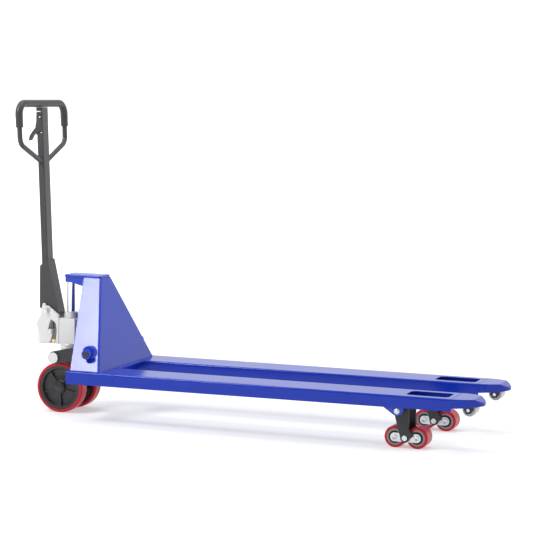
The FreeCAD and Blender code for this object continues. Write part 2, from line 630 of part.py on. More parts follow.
def thrust_bearing():
    """Ring between the crosshead and the pump that carries the load while steering."""
    ring = cylinder("thrust_ring", "thrust_d", "column_x", "0", "cross_top + thrust_gap",
                    "pump_low - cross_top - 16 - 2 * thrust_gap", "Z")
    hole = cylinder("thrust_bore", "neck_d + 2 * fit", "column_x", "0", "cross_top - 1",
                    "pump_low - cross_top", "Z")
    node(cut("thrust_turned", ring, hole), "thrust_bearing")


# rocker and linkage

def rocker_arms():
    """Two arms on one tube; slots in their ends lift the crosshead's trunnions."""
    run = size("shaft_x") - size("trunnion_x")
    rise = size("shaft_z") - size("trunnion_z")
    slope = math.degrees(math.atan2(rise, run))
    parts = [cross_bar("rocker_tube", "tube_d", "shaft_x", "shaft_z", "arm_out")]
    slots = [cross_bar("rocker_bore", "shaft_d + 2 * fit", "shaft_x", "shaft_z", "arm_out + 2")]
    for hand, low in (("right", "-arm_out"), ("left", "arm_in")):
        body = new_body(hand + "_arm_body")
        face = outline(body, hand + "_arm_face", "XZ_Plane",
                       [("trunnion_x - 3", "trunnion_z + arm_end_d / 2"),
                        ("trunnion_x + 3", "trunnion_z - arm_end_d / 2"),
                        ("shaft_x + 4", "shaft_z - arm_root_d / 2"),
                        ("shaft_x - 4", "shaft_z + arm_root_d / 2")],
                       f"-({low}) - (arm_out - arm_in)")
        pad(body, face, "arm_out - arm_in", False)
        parts += [body,
                  cylinder(hand + "_arm_end", "arm_end_d", "trunnion_x", low, "trunnion_z",
                           "arm_out - arm_in"),
                  cylinder(hand + "_arm_root", "arm_root_d", "shaft_x", low, "shaft_z",
                           "arm_out - arm_in")]
        slot = doc.addObject("Part::Box", hand + "_arm_slot")
        bind(slot, "Length", "arm_slot")
        bind(slot, "Width", "arm_out - arm_in + 2")
        bind(slot, "Height", "arm_slot_wide")
        turned = FreeCAD.Rotation(FreeCAD.Vector(0, 1, 0), -slope)
        back = size("arm_slot") / 2 + size("arm_slot_shift")
        start = turned.multVec(FreeCAD.Vector(-back, 0, -size("arm_slot_wide") / 2))
        centre = FreeCAD.Vector(size("trunnion_x"), 0, size("trunnion_z"))
        slot.Placement = FreeCAD.Placement(centre + start, turned)
        bind(slot, "Placement.Base.y", f"{low} - 1")
        slots.append(slot)
    node(cut("rocker_whole", fuse("rocker_solid", parts), fuse("rocker_slots", slots)), "rocker_arms")


def torsion_shaft():
    """Shaft that joins the rocker to both push levers."""
    shaft = cross_bar("torsion_bar", "shaft_d", "shaft_x", "shaft_z", "shaft_half")
    group("torsion_shaft", [shaft])


def push_levers():
    """Levers on the torsion shaft, one into each fork, and their pins."""
    levers = []
    pins = []
    for side, middle in SIDES:
        body = new_body(side + "_lever_body")
        face = outline(body, side + "_lever_face", "XZ_Plane",
                       [("shaft_x - lever_d / 2", "shaft_z"),
                        ("lever_pin_x - lever_eye_d / 2", "lever_pin_z"),
                        ("lever_pin_x + lever_eye_d / 2", "lever_pin_z"),
                        ("shaft_x + lever_d / 2", "shaft_z")],
                       f"-({middle})")
        pad(body, face, "2 * lever_half")
        parts = [body,
                 cylinder(side + "_lever_eye", "lever_eye_d", "lever_pin_x", f"{middle} - lever_half",
                          "lever_pin_z", "2 * lever_half"),
                 cylinder(side + "_lever_hub", "lever_d", "shaft_x", f"{middle} - lever_half",
                          "shaft_z", "2 * lever_half")]
        holes = [cylinder(side + "_hub_hole", "shaft_d + 2 * fit", "shaft_x", f"{middle} - 20",
                          "shaft_z", "40"),
                 cylinder(side + "_eye_hole", "lever_pin_d + 2 * fit", "lever_pin_x", f"{middle} - 20",
                          "lever_pin_z", "40")]
        levers.append(cut(side + "_lever", fuse(side + "_lever_solid", parts),
                          fuse(side + "_lever_holes", holes)))
        pins.append(cylinder(side + "_lever_pin", "lever_pin_d", "lever_pin_x", f"{middle} - cheek_out - 2",
                             "lever_pin_z", "2 * cheek_out + 4"))
    group("push_levers", levers)
    group("push_lever_pins", pins)


def push_rod(side, y):
    """Round rod with a slotted fork at each end, inside the fork's channel."""
    shank = cylinder(side + "_rod_shank", "push_d", "push_rear - 2", "0", "push_z",
                     "push_front - push_rear + 2", "X")
    ends = [block(side + "_rear_fork", ("rear_fork_back", "push_rear + 8"), ("-cheek_out", "cheek_out"),
                  ("rear_fork_low", "rear_fork_top")),
            block(side + "_front_fork", ("front_fork_back", "front_fork_tip"), ("-cheek_out", "cheek_out"),
                  ("front_fork_low", "front_fork_top"))]
    tools = [block(side + "_rear_gap", ("rear_fork_back - 5", "push_rear"), ("-cheek_in", "cheek_in"),
                   ("rear_fork_low - 5", "rear_fork_top + 5")),
             block(side + "_front_gap", ("push_front", "front_fork_tip + 5"), ("-cheek_in", "cheek_in"),
                   ("front_fork_low - 5", "front_fork_top + 5")),
             block(side + "_rear_slot", ("lever_pin_x - lever_pin_d / 2 - 0.4",
                                         "lever_pin_x + lever_pin_d / 2 + 0.4"),
                   ("-cheek_out - 5", "cheek_out + 5"), ("rear_slot_low", "rear_slot_top")),
             block(side + "_front_slot", ("yoke_eye_x - lever_pin_d / 2 - 1.6",
                                          "yoke_eye_x + lever_pin_d / 2 + 1.6"),
                   ("-cheek_out - 5", "cheek_out + 5"), ("front_slot_low", "front_slot_top"))]
    node(cut(side + "_rod_whole", fuse(side + "_rod_solid", [shank] + ends),
             fuse(side + "_rod_tools", tools)), side + "_push_rod", y)


# load rollers

def yoke(side, y):
    """Forged yoke: a cross tube on the bolt, two arms down to the links and a lever up to the rod."""
    parts = [cross_bar(side + "_yoke_tube", "yoke_tube_d", "yoke_x", "yoke_z", "yoke_half")]
    out = "arm_inner + arm_sheet"
    for hand, low in (("inner", f"-({out})"), ("outer", "arm_inner")):
        name = f"{side}_{hand}_yoke_arm"
        body = new_body(name + "_body")
        face = outline(body, name, "XZ_Plane",
                       [("yoke_x - yoke_boss_d / 2", "yoke_z"), ("bogie_x - 34", "bogie_z + 62"),
                        ("bogie_x - bogie_eye_d / 2", "bogie_z"),
                        ("bogie_x + bogie_eye_d / 2", "bogie_z - 2"),
                        ("bogie_x + 29", "bogie_z + 5"), ("bogie_x + 31", "bogie_z + 16"),
                        ("bogie_x + 15", "bogie_z + 30"), ("bogie_x + 14", "bogie_z + 108"),
                        ("yoke_x", "yoke_z + yoke_boss_d / 2")],
                       f"-({low}) - arm_sheet")
        pad(body, face, "arm_sheet", False)
        parts += [body,
                  cylinder(name + "_boss", "yoke_boss_d", "yoke_x", low, "yoke_z", "arm_sheet"),
                  cylinder(name + "_eye", "bogie_eye_d", "bogie_x", low, "bogie_z", "arm_sheet")]
    body = new_body(side + "_yoke_lever_body")
    face = outline(body, side + "_yoke_lever", "XZ_Plane",
                   [("yoke_x - 12", "yoke_z + 4"), ("yoke_x + 8", "yoke_z - 9"),
                    ("yoke_eye_x + 8", "yoke_eye_z - 9"), ("yoke_eye_x - 9", "yoke_eye_z + 8")])
    pad(body, face, "2 * lever_half")
    parts += [body, cross_bar(side + "_yoke_eye", "yoke_eye_d", "yoke_eye_x", "yoke_eye_z", "lever_half")]
    holes = [cross_bar(side + "_yoke_bore", "yoke_pin_d + 2 * fit", "yoke_x", "yoke_z", "yoke_half + 2"),
             cross_bar(side + "_links_bore", "bogie_pin_d + 2 * fit", "bogie_x", "bogie_z", "yoke_half"),
             cross_bar(side + "_eye_bore", "lever_pin_d + 2 * fit", "yoke_eye_x", "yoke_eye_z", "20")]
    node(cut(side + "_yoke_whole", fuse(side + "_yoke_solid", parts), fuse(side + "_yoke_holes", holes)),
         side + "_roller_yoke", y)
    pin = cross_bar(side + "_rod_pin_bar", "lever_pin_d", "yoke_eye_x", "yoke_eye_z", "cheek_out + 2")
    group(side + "_rod_pin", [pin], y)


def bogie_pins(side, y):
    """Stub pins, one through each arm of the yoke into its link plate."""
    pieces = []
    for hand, sign in (("inner", "-1"), ("outer", "1")):
        name = f"{side}_{hand}_stub"
        inner = "link_in"
        head = "arm_inner + arm_sheet"
        shank = cylinder(name, "bogie_pin_d", "bogie_x",
                         inner if sign == "1" else f"-({head})", "bogie_z", f"{head} - {inner}")
        cap = cylinder(name + "_head", "bogie_head_d", "bogie_x",
                       head if sign == "1" else f"-({head}) - bogie_head_long", "bogie_z",
                       "bogie_head_long")
        pieces.append(fuse(name + "_whole", [shank, cap]))
    group(side + "_bogie_pins", pieces, y)


def bogie_links(side, y):
    """Pair of link plates that share the load between two rollers, and the roller axles."""
    plates = []
    for hand, low in (("inner", "-link_in - link_sheet"), ("outer", "link_in")):
        name = f"{side}_{hand}_link"
        bar = block(name + "_bar", ("bogie_x - roller_step", "bogie_x + roller_step"),
                    (low, f"{low} + link_sheet"), ("bogie_z - link_end_d / 2", "bogie_z + link_end_d / 2"))
        ends = [cylinder(f"{name}_{end}", "link_end_d", f"bogie_x {end_sign} roller_step", low, "bogie_z",
                         "link_sheet") for end, end_sign in (("rear", "-"), ("front", "+"))]
        holes = [cylinder(f"{name}_{end}_hole", "roller_axle_d + 2 * fit", f"bogie_x {end_sign} roller_step",
                          f"{low} - 1", "bogie_z", "link_sheet + 2")
                 for end, end_sign in (("rear", "-"), ("front", "+"))]
        holes.append(cylinder(name + "_pin_hole", "bogie_pin_d + 2 * fit", "bogie_x", f"{low} - 1",
                              "bogie_z", "link_sheet + 2"))
        plates.append(cut(name, fuse(name + "_solid", [bar] + ends), fuse(name + "_holes", holes)))
    group(side + "_bogie_links", plates, y)
    axles = [cross_bar(f"{side}_{end}_axle", "roller_axle_d", f"bogie_x {end_sign} roller_step", "bogie_z",
                       "roller_axle_half") for end, end_sign in (("rear", "-"), ("front", "+"))]
    group(side + "_roller_axles", axles, y)


def wheel_profile(body, name, rings):
    """Half section of a wheel: radius along the sketch's X, width along its Y."""
    face = outline(body, name, "XY_Plane", rings)
    return turn(body, face)


def load_roller(side, end, sign, y):
    """Polyurethane tyre on a turned core."""
    x = f"axle_x + bogie_x {sign} roller_step"
    wide = "roller_wide / 2"
    tyre = new_body(f"{side}_{end}_tyre_body")
    wheel_profile(tyre, f"{side}_{end}_tyre_face",
                  [("roller_core_d / 2", f"-{wide}"), ("roller_d / 2", f"-{wide}"),
                   ("roller_d / 2", wide), ("roller_core_d / 2", wide)])
    soften(tyre, "roller_shoulder", lambda edge: near(edge.BoundBox.XMax, size("roller_d") / 2)
           and near(edge.BoundBox.YMin, edge.BoundBox.YMax))
    node(tyre, f"{side}_{end}_roller_tyre", y, x, "bogie_z")
    core = new_body(f"{side}_{end}_core_body")
    bore = "roller_axle_d / 2 + fit"
    hub = "hub_recess_d / 2"
    deep = f"{wide} - hub_recess"
    wheel_profile(core, f"{side}_{end}_core_face",
                  [(bore, f"-({deep})"), (hub, f"-({deep})"), (hub, f"-{wide}"),
                   ("roller_core_d / 2", f"-{wide}"), ("roller_core_d / 2", wide), (hub, wide),
                   (hub, deep), (bore, deep)])
    node(core, f"{side}_{end}_roller_core", y, x, "bogie_z")


# steering wheels

def steering_wheel(side, y):
    """Black core with ribs on both faces, and a thick polyurethane tyre."""
    wide = "wheel_wide / 2"
    tyre = new_body(side + "_wheel_tyre_body")
    wheel_profile(tyre, side + "_wheel_tyre_face",
                  [("rim_d / 2", f"-{wide}"), ("wheel_d / 2", f"-{wide}"), ("wheel_d / 2", wide),
                   ("rim_d / 2", wide)])
    soften(tyre, "wheel_shoulder", lambda edge: near(edge.BoundBox.XMax, size("wheel_d") / 2)
           and near(edge.BoundBox.YMin, edge.BoundBox.YMax))
    node(tyre, side + "_wheel_tyre", y, "axle_x", "axle_z")
    core = new_body(side + "_wheel_core_body")
    bore = "axle_d / 2 + fit"
    rim = "rim_wide / 2"
    wheel_profile(core, side + "_wheel_core_face",
                  [(bore, f"-{wide}"), ("wheel_hub_d / 2", f"-{wide}"), ("wheel_hub_d / 2", "-web_wide / 2"),
                   ("rim_inner_d / 2", "-web_wide / 2"), ("rim_inner_d / 2", f"-{rim}"),
                   ("rim_d / 2", f"-{rim}"), ("rim_d / 2", rim), ("rim_inner_d / 2", rim),
                   ("rim_inner_d / 2", "web_wide / 2"), ("wheel_hub_d / 2", "web_wide / 2"),
                   ("wheel_hub_d / 2", wide), (bore, wide)])
    rib = outline(core, side + "_rib", "XZ_Plane",
                  [("wheel_hub_d / 2 - 2", "-spoke / 2"), ("rim_inner_d / 2 + 2", "-spoke / 2"),
                   ("rim_inner_d / 2 + 2", "spoke / 2"), ("wheel_hub_d / 2 - 2", "spoke / 2")])
    rib_pad = pad(core, rib, "spoke_wide")
    ring = core.newObject("PartDesign::PolarPattern", side + "_ribs")
    ring.Originals = [rib_pad]
    ring.Axis = ([part for part in core.Origin.OriginFeatures if part.Role == "Y_Axis"][0], [""])
    ring.Angle = 360
    bind(ring, "Occurrences", "spoke_count")
    core.Tip = ring
    node(core, side + "_wheel_core", y, "axle_x", "axle_z")


# drawbar

def drawbar_yoke():
    """Tapered channel that grips the foot of the drawbar and turns on the pump's pivot pin."""
    body = new_body("channel_body")
    face = outline(body, "channel_face", "XZ_Plane",
                   [("channel_front", "channel_front_top"), ("channel_front", "handle_z + 10"),
                    ("handle_x - 19", "handle_z"), ("handle_x + 14", "handle_z - 13"),
                    ("channel_tip_x - 24", "channel_toe"), ("channel_tip_x - 5", "channel_toe"),
                    ("channel_tip_x", "channel_tip_z"), ("channel_back", "channel_back_top")])
    pad(body, face, "2 * channel_half")
    inner = outline(body, "channel_inner", "XZ_Plane",
                    [("channel_front - 20", "channel_back_top + 40"), ("channel_front - 20", "300"),
                     ("channel_tip_x - 9", "300"), ("channel_tip_x - 9", "channel_tip_z"),
                     ("channel_back - 2.2", "channel_back_top + 1"),
                     ("channel_back - 2.2", "channel_back_top + 40")])
    pocket(body, inner, "2 * channel_half - 2 * channel_sheet")
    doc.recompute()
    tube = cross_bar("channel_hub", "channel_boss_d - 4", "handle_x", "handle_z",
                     "channel_half - channel_sheet + 1")
    boss = cross_bar("channel_boss", "channel_boss_d", "handle_x", "handle_z", "channel_half")
    gap = cross_bar("channel_boss_gap", "channel_boss_d + 2", "handle_x", "handle_z",
                    "channel_half - channel_sheet")
    lobe = cross_bar("channel_lobe", "lobe_d", "lobe_x", "lobe_z", "channel_half - channel_sheet + 1")
    whole = fuse("channel_whole", [body, cut("channel_cheeks", boss, gap), tube, lobe])
    hole = cross_bar("channel_bore", "pivot_d + 2 * fit", "handle_x", "handle_z", "channel_half + 2")
    node(cut("channel_bored", whole, hole), "drawbar_yoke")


def drawbar_tube():
    """Leaning rectangular tube with an opening for the hand lever below the grip."""
    body = new_body("bar_body")
    half = "bar_deep / 2"
    face = outline(body, "bar_face", "XZ_Plane",
                   [(f"bar_top_x - {half}", "bar_top"), (f"bar_low_x - {half}", "bar_low"),
                    (f"bar_low_x + {half}", "bar_low"), (f"bar_top_x + {half}", "bar_top")])
    pad(body, face, "bar_wide")
    soften(body, "bar_bend", lambda edge: near(edge.BoundBox.YMin, edge.BoundBox.YMax)
           and edge.BoundBox.ZLength > 400)
    inner = f"({half} - bar_wall)"
    hollow = outline(body, "bar_hollow", "XZ_Plane",
                     [(f"bar_top_x - {inner}", "bar_top - bar_wall"), (f"bar_low_x - {inner}", "bar_low"),
                      (f"bar_low_x + {inner}", "bar_low"), (f"bar_top_x + {inner}", "bar_top - bar_wall")])
    pocket(body, hollow, "bar_wide - 2 * bar_wall")
    notch = outline(body, "bar_notch", "YZ_Plane",
                    [("notch_half", "notch_top"), ("-notch_half", "notch_top"),
                     ("-notch_half", "notch_low"), ("notch_half", "notch_low")],
                    "bar_top_x - bar_deep")
    pocket(body, notch, "2 * bar_deep")
    doc.recompute()
    hole = cross_bar("bar_pin_hole", "hand_pin_d + 2 * fit", "hand_x", "hand_z", "bar_wide")
    node(cut("bar_bored", body, hole), "drawbar_tube")


def rounded_path(corners, radius):
    """Straight runs joined by tangent arcs, in the YZ plane."""
    edges = []
    last = corners[0]
    for i in range(1, len(corners) - 1):
        back = (corners[i - 1] - corners[i]).normalize()
        ahead = (corners[i + 1] - corners[i]).normalize()
        turn_by = math.pi - back.getAngle(ahead)
        reach = radius[i] * math.tan(turn_by / 2)
        first = corners[i] + back * reach
        final = corners[i] + ahead * reach
        inward = (back + ahead).normalize()
        middle = corners[i] + inward * (radius[i] / math.cos(turn_by / 2) - radius[i])
        edges.append(Part.LineSegment(last, first).toShape())
        edges.append(Part.Arc(first, middle, final).toShape())
        last = final
    edges.append(Part.LineSegment(last, corners[-1]).toShape())
    return Part.Wire(edges)


def bent_bar(corners, radius, across):
    """Round bar swept along a rounded path."""
    path = rounded_path(corners, radius)
    start = corners[0]
    facing = corners[1] - corners[0]
    ring = Part.Wire(Part.makeCircle(across / 2, start, facing))
    return path.makePipeShell([ring], True, False)


def leaning(name, label, shape):
    """Places a shape drawn from the middle of the drawbar's top, leant back with the drawbar."""
    feature = doc.addObject("Part::Feature", name)
    feature.Shape = shape
    feature.Placement = FreeCAD.Placement(
        FreeCAD.Vector(), FreeCAD.Rotation(FreeCAD.Vector(0, 1, 0), -size("lean")))
    return node(feature, label, "0", "axle_x + bar_top_x", "bar_top")


def handle():
    """Loop of round tube welded to the drawbar, with a moulded grip over its top and sides."""
    bar_top = size("bar_top")
    half, top = size("loop_half"), size("loop_top") - bar_top
    join_y, join_z = size("loop_join_y"), size("loop_join_z") - bar_top
    elbow_z, grip_z = size("loop_bend_z") - bar_top, size("grip_end") - bar_top
    point = lambda y, z: FreeCAD.Vector(0, y, z)
    loop_corners = [point(-join_y, join_z), point(-half, elbow_z), point(-half, top), point(half, top),
                    point(half, elbow_z), point(join_y, join_z)]
    bends = [0, size("loop_elbow"), size("loop_corner"), size("loop_corner"), size("loop_elbow"), 0]
    tube = bent_bar(loop_corners, bends, size("tube_loop_d"))
    wide, reach = size("bar_wide"), size("loop_half") * 2
    inside_bar = Part.makeBox(reach, wide, reach, FreeCAD.Vector(-reach / 2, -wide / 2, -reach))
    leaning("loop_bent", "handle_loop", tube.cut(inside_bar))
    grip_corners = [point(-half, grip_z), point(-half, top), point(half, top), point(half, grip_z)]
    corner = size("loop_corner")
    sleeve = bent_bar(grip_corners, [0, corner, corner, 0], size("grip_d"))
    core = bent_bar(grip_corners, [0, corner, corner, 0], size("tube_loop_d"))
    tee_half, tee_low, deep = size("tee_half"), size("tee_low") - bar_top, size("grip_d")
    tee = Part.makeBox(deep, 2 * tee_half, top - tee_low, FreeCAD.Vector(-deep / 2, -tee_half, tee_low))
    leaning("grip_moulded", "handle_grip", sleeve.fuse(tee).cut(core).removeSplitter())


def hand_lever():
    """Finger lever pressed from sheet, pinned across the drawbar below the grip."""
    parts = []
    for hand, low in (("right", "-hand_in - hand_sheet"), ("left", "hand_in")):
        body = new_body(hand + "_lever_cheek_body")
        face = outline(body, hand + "_lever_cheek", "XZ_Plane",
                       [("hand_x - 19", "hand_z + 20"), ("hand_x - 6", "hand_z + 20"),
                        ("hand_x + 9", "hand_z - 20"), ("hand_x + 11", "hand_z - 60"),
                        ("hand_x - 16", "hand_z - 62"), ("hand_x - 22", "hand_z - 40")],
                       f"-({low}) - hand_sheet")
        pad(body, face, "hand_sheet", False)
        parts.append(body)
    body = new_body("lever_bridge_body")
    face = outline(body, "lever_bridge", "XZ_Plane",
                   [("hand_x - 19", "hand_z - 22"), ("hand_x - 22", "hand_z - 22"),
                    ("hand_x - 25", "hand_z - 44"), ("hand_x - 19", "hand_z - 72"),
                    ("hand_x - 16", "hand_z - 72"), ("hand_x - 21", "hand_z - 44")])
    pad(body, face, "2 * hand_in + 2 * hand_sheet")
    parts.append(body)
    body = new_body("lever_blade_body")
    face = outline(body, "lever_blade", "XZ_Plane",
                   [("hand_x - 19", "hand_z - 34"), ("hand_x - 21", "hand_z - 54"),
                    ("hand_x - 40", "hand_z - 74"), ("hand_tip_x + 5", "hand_tip_z"),
                    ("hand_tip_x", "hand_tip_z"), ("hand_tip_x + 4", "hand_tip_z + 20"),
                    ("hand_x - 34", "hand_z - 50")])
    pad(body, face, "2 * hand_blade_half")
    parts.append(body)
    hole = cross_bar("hand_hole", "hand_pin_d + 2 * fit", "hand_x", "hand_z", "bar_wide")
    node(cut("hand_bored", fuse("hand_solid", parts), hole), "hand_lever")
    pin = cross_bar("hand_pin_bar", "hand_pin_d", "hand_x", "hand_z", "hand_pin_half")
    group("hand_lever_pin", [pin])


for fork_side, fork_y in SIDES:
    fork(fork_side, fork_y)
    fork_tip(fork_side, fork_y)
    entry_roller(fork_side, fork_y)
    push_rod(fork_side, fork_y)
    yoke(fork_side, fork_y)
    bogie_pins(fork_side, fork_y)
    bogie_links(fork_side, fork_y)
    load_roller(fork_side, "rear", "-", fork_y)
    load_roller(fork_side, "front", "+", fork_y)
for wheel_side, wheel_y in (("right", "-wheel_pitch / 2"), ("left", "wheel_pitch / 2")):
    steering_wheel(wheel_side, wheel_y)
for build in (heel_plate, cross_brace, lift_head, shaft_bosses, fork_brackets, yoke_pins, entry_fittings,
              piston_rod, pump_body, rod_gland, wheel_axle, handle_pivot, relief_valve, plunger,
              release_lever, crosshead, thrust_bearing, rocker_arms, torsion_shaft, push_levers,
              drawbar_yoke, drawbar_tube, handle, hand_lever):
    build()
doc.recompute()

faults = [thing.Name for thing in doc.Objects if "Invalid" in thing.State or "Error" in thing.State]
faults += [thing.Label for thing in NODES if thing.Shape.isNull() or not thing.Shape.isValid()]
if faults:
    raise RuntimeError("not built: " + ", ".join(faults))

os.makedirs("parts", exist_ok=True)
for old in os.listdir("parts"):
    os.remove(os.path.join("parts", old))
whole = FreeCAD.BoundBox()
for thing in NODES:
    thing.Shape.exportStep(os.path.join("parts", thing.Label + ".step"))
    whole.add(thing.Shape.BoundBox)
    print(thing.Label, len(thing.Shape.Solids), round(thing.Shape.Volume / 1000, 2))
print(len(NODES), "nodes", whole)
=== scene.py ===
import math

import bmesh
import bpy
from mathutils import Matrix, Vector


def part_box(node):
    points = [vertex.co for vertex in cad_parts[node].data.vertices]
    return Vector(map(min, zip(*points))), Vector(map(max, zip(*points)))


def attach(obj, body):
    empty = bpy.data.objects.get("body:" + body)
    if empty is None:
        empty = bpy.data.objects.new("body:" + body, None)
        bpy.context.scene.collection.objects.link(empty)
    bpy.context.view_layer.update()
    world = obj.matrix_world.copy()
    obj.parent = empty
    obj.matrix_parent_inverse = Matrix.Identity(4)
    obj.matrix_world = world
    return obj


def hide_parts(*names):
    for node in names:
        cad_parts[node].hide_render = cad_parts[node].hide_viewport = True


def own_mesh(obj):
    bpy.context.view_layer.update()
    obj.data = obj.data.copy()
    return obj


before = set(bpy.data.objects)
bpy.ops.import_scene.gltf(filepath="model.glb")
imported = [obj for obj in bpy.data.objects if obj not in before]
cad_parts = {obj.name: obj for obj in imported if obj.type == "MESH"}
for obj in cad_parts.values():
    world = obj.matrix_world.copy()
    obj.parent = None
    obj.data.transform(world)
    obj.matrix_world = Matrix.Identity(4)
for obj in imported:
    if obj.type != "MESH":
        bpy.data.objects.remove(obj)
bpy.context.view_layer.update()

# Studio: a plain pale floor that runs out of sight, one large soft box high on the handle side, one
# wide one overhead, and an even pale surround that is dimmer on the viewer's side. The floor is lit
# through from below, more strongly further out, so that it meets the surround without a line.
stage_scene = bpy.context.scene
stage_scene.view_settings.view_transform = "Standard"

floor_mesh = bpy.data.meshes.new("studio_floor")
floor_half = 60.0
floor_mesh.from_pydata([(-floor_half, -floor_half, 0), (floor_half, -floor_half, 0),
                        (floor_half, floor_half, 0), (-floor_half, floor_half, 0)], [], [(0, 1, 2, 3)])
studio_floor = bpy.data.objects.new("studio_floor", floor_mesh)
stage_scene.collection.objects.link(studio_floor)
floor_paint = bpy.data.materials.new("studio floor")
floor_paint.use_nodes = True
floor_shader = floor_paint.node_tree.nodes["Principled BSDF"]
floor_shader.inputs["Base Color"].default_value = (0.62, 0.62, 0.62, 1)
floor_shader.inputs["Roughness"].default_value = 0.85
floor_shader.inputs["Specular IOR Level"].default_value = 0.1
floor_shader.inputs["Emission Color"].default_value = (1, 1, 1, 1)
floor_links = floor_paint.node_tree.links
floor_spot = floor_paint.node_tree.nodes.new("ShaderNodeTexCoord")
floor_far = floor_paint.node_tree.nodes.new("ShaderNodeVectorMath")
floor_far.operation = "LENGTH"
floor_glow = floor_paint.node_tree.nodes.new("ShaderNodeMapRange")
floor_glow.interpolation_type = "SMOOTHSTEP"
for socket, number in (("From Min", 1.2), ("From Max", 7.0), ("To Min", 0.42), ("To Max", 1.1)):
    floor_glow.inputs[socket].default_value = number
floor_links.new(floor_spot.outputs["Object"], floor_far.inputs[0])
floor_links.new(floor_far.outputs["Value"], floor_glow.inputs["Value"])
floor_links.new(floor_glow.outputs["Result"], floor_shader.inputs["Emission Strength"])
floor_mesh.materials.append(floor_paint)

surround = bpy.data.worlds.new("studio surround")
stage_scene.world = surround
surround.use_nodes = True
sky = surround.node_tree
sky.nodes.clear()
sky_out = sky.nodes.new("ShaderNodeOutputWorld")
sky_mix = sky.nodes.new("ShaderNodeMixShader")
sky_seen = sky.nodes.new("ShaderNodeBackground")
sky_seen.inputs["Color"].default_value = (1, 1, 1, 1)
sky_seen.inputs["Strength"].default_value = 1.1
sky_light = sky.nodes.new("ShaderNodeBackground")
sky_light.inputs["Color"].default_value = (0.96, 0.97, 1.0, 1)
sky_ray = sky.nodes.new("ShaderNodeLightPath")
sky_way = sky.nodes.new("ShaderNodeTexCoord")
sky_parts = sky.nodes.new("ShaderNodeSeparateXYZ")
sky_range = sky.nodes.new("ShaderNodeMapRange")
for socket, number in (("From Min", -0.9), ("From Max", 0.6), ("To Min", 0.24), ("To Max", 1.0)):
    sky_range.inputs[socket].default_value = number
sky.links.new(sky_way.outputs["Generated"], sky_parts.inputs[0])
sky.links.new(sky_parts.outputs["Y"], sky_range.inputs["Value"])
sky.links.new(sky_range.outputs["Result"], sky_light.inputs["Strength"])
sky.links.new(sky_ray.outputs["Is Camera Ray"], sky_mix.inputs[0])
sky.links.new(sky_light.outputs[0], sky_mix.inputs[1])
sky.links.new(sky_seen.outputs[0], sky_mix.inputs[2])
sky.links.new(sky_mix.outputs[0], sky_out.inputs["Surface"])

for light_name, place, aim, wide, high, power in (
        ("side_softbox", (-2.05, -2.25, 3.45), (-0.6, -0.2, 0.30), 1.3, 1.3, 106),
        ("top_softbox", (0.2, 0.5, 4.6), (0.1, 0.0, 0.0), 5.0, 3.0, 90)):
    lamp = bpy.data.lights.new(light_name, "AREA")
    lamp.shape = "RECTANGLE"
    lamp.size = wide
    lamp.size_y = high
    lamp.energy = power
    lamp_object = bpy.data.objects.new(light_name, lamp)
    lamp_object.location = place
    lamp_object.rotation_euler = (Vector(aim) - Vector(place)).to_track_quat("-Z", "Y").to_euler()
    stage_scene.collection.objects.link(lamp_object)

camera_turn, camera_rise, camera_roll = math.radians(20.70), math.radians(5.41), math.radians(0.80)
camera_back = Vector((math.sin(camera_turn) * math.cos(camera_rise),
                      -math.cos(camera_turn) * math.cos(camera_rise), math.sin(camera_rise)))
level_right = Vector((0, 0, 1)).cross(camera_back).normalized()
level_up = camera_back.cross(level_right)
camera_right = level_right * math.cos(camera_roll) + level_up * math.sin(camera_roll)
camera_up = level_up * math.cos(camera_roll) - level_right * math.sin(camera_roll)
camera_data = bpy.data.cameras.new("view")
camera_data.sensor_width = 36
camera_data.lens = 126.6
camera = bpy.data.objects.new("view", camera_data)
stage_scene.collection.objects.link(camera)
camera_target, camera_distance = Vector((0.0497, 0, 0.6159)), 7.1992
camera_place = camera_target + camera_back * camera_distance
camera.matrix_world = Matrix((
    (camera_right.x, camera_up.x, camera_back.x, camera_place.x),
    (camera_right.y, camera_up.y, camera_back.y, camera_place.y),
    (camera_right.z, camera_up.z, camera_back.z, camera_place.z),
    (0, 0, 0, 1)))
stage_scene.camera = camera

# Forks and fork noses: 4 mm plate bent into channels, with pressed noses welded on. All of the frame
# is blue gloss powder coat, slightly rippled, and rubbed along its edges.
AXLE = -0.791
FORK_MIDDLE = 0.195


def new_group(name, sockets):
    """A shader node group with named sockets, and its two end nodes."""
    tree = bpy.data.node_groups.new(name, "ShaderNodeTree")
    for label, way, kind, start in sockets:
        made = tree.interface.new_socket(name=label, in_out=way, socket_type=kind)
        if start is not None:
            made.default_value = start
    return tree, tree.nodes.new("NodeGroupInput"), tree.nodes.new("NodeGroupOutput")


grain, grain_in, grain_out = new_group("Fine grain", [
    ("Place", "INPUT", "NodeSocketVector", None), ("Scale", "INPUT", "NodeSocketFloat", 60.0),
    ("Height", "OUTPUT", "NodeSocketFloat", None), ("Cloud", "OUTPUT", "NodeSocketFloat", None)])
grain_fine = grain.nodes.new("ShaderNodeTexNoise")
grain_fine.inputs["Detail"].default_value = 3
grain_wide = grain.nodes.new("ShaderNodeTexNoise")
grain_wide.inputs["Scale"].default_value = 4.5
grain_wide.inputs["Detail"].default_value = 4
grain.links.new(grain_in.outputs["Place"], grain_fine.inputs["Vector"])
grain.links.new(grain_in.outputs["Scale"], grain_fine.inputs["Scale"])
grain.links.new(grain_in.outputs["Place"], grain_wide.inputs["Vector"])
grain.links.new(grain_fine.outputs["Fac"], grain_out.inputs["Height"])
grain.links.new(grain_wide.outputs["Fac"], grain_out.inputs["Cloud"])

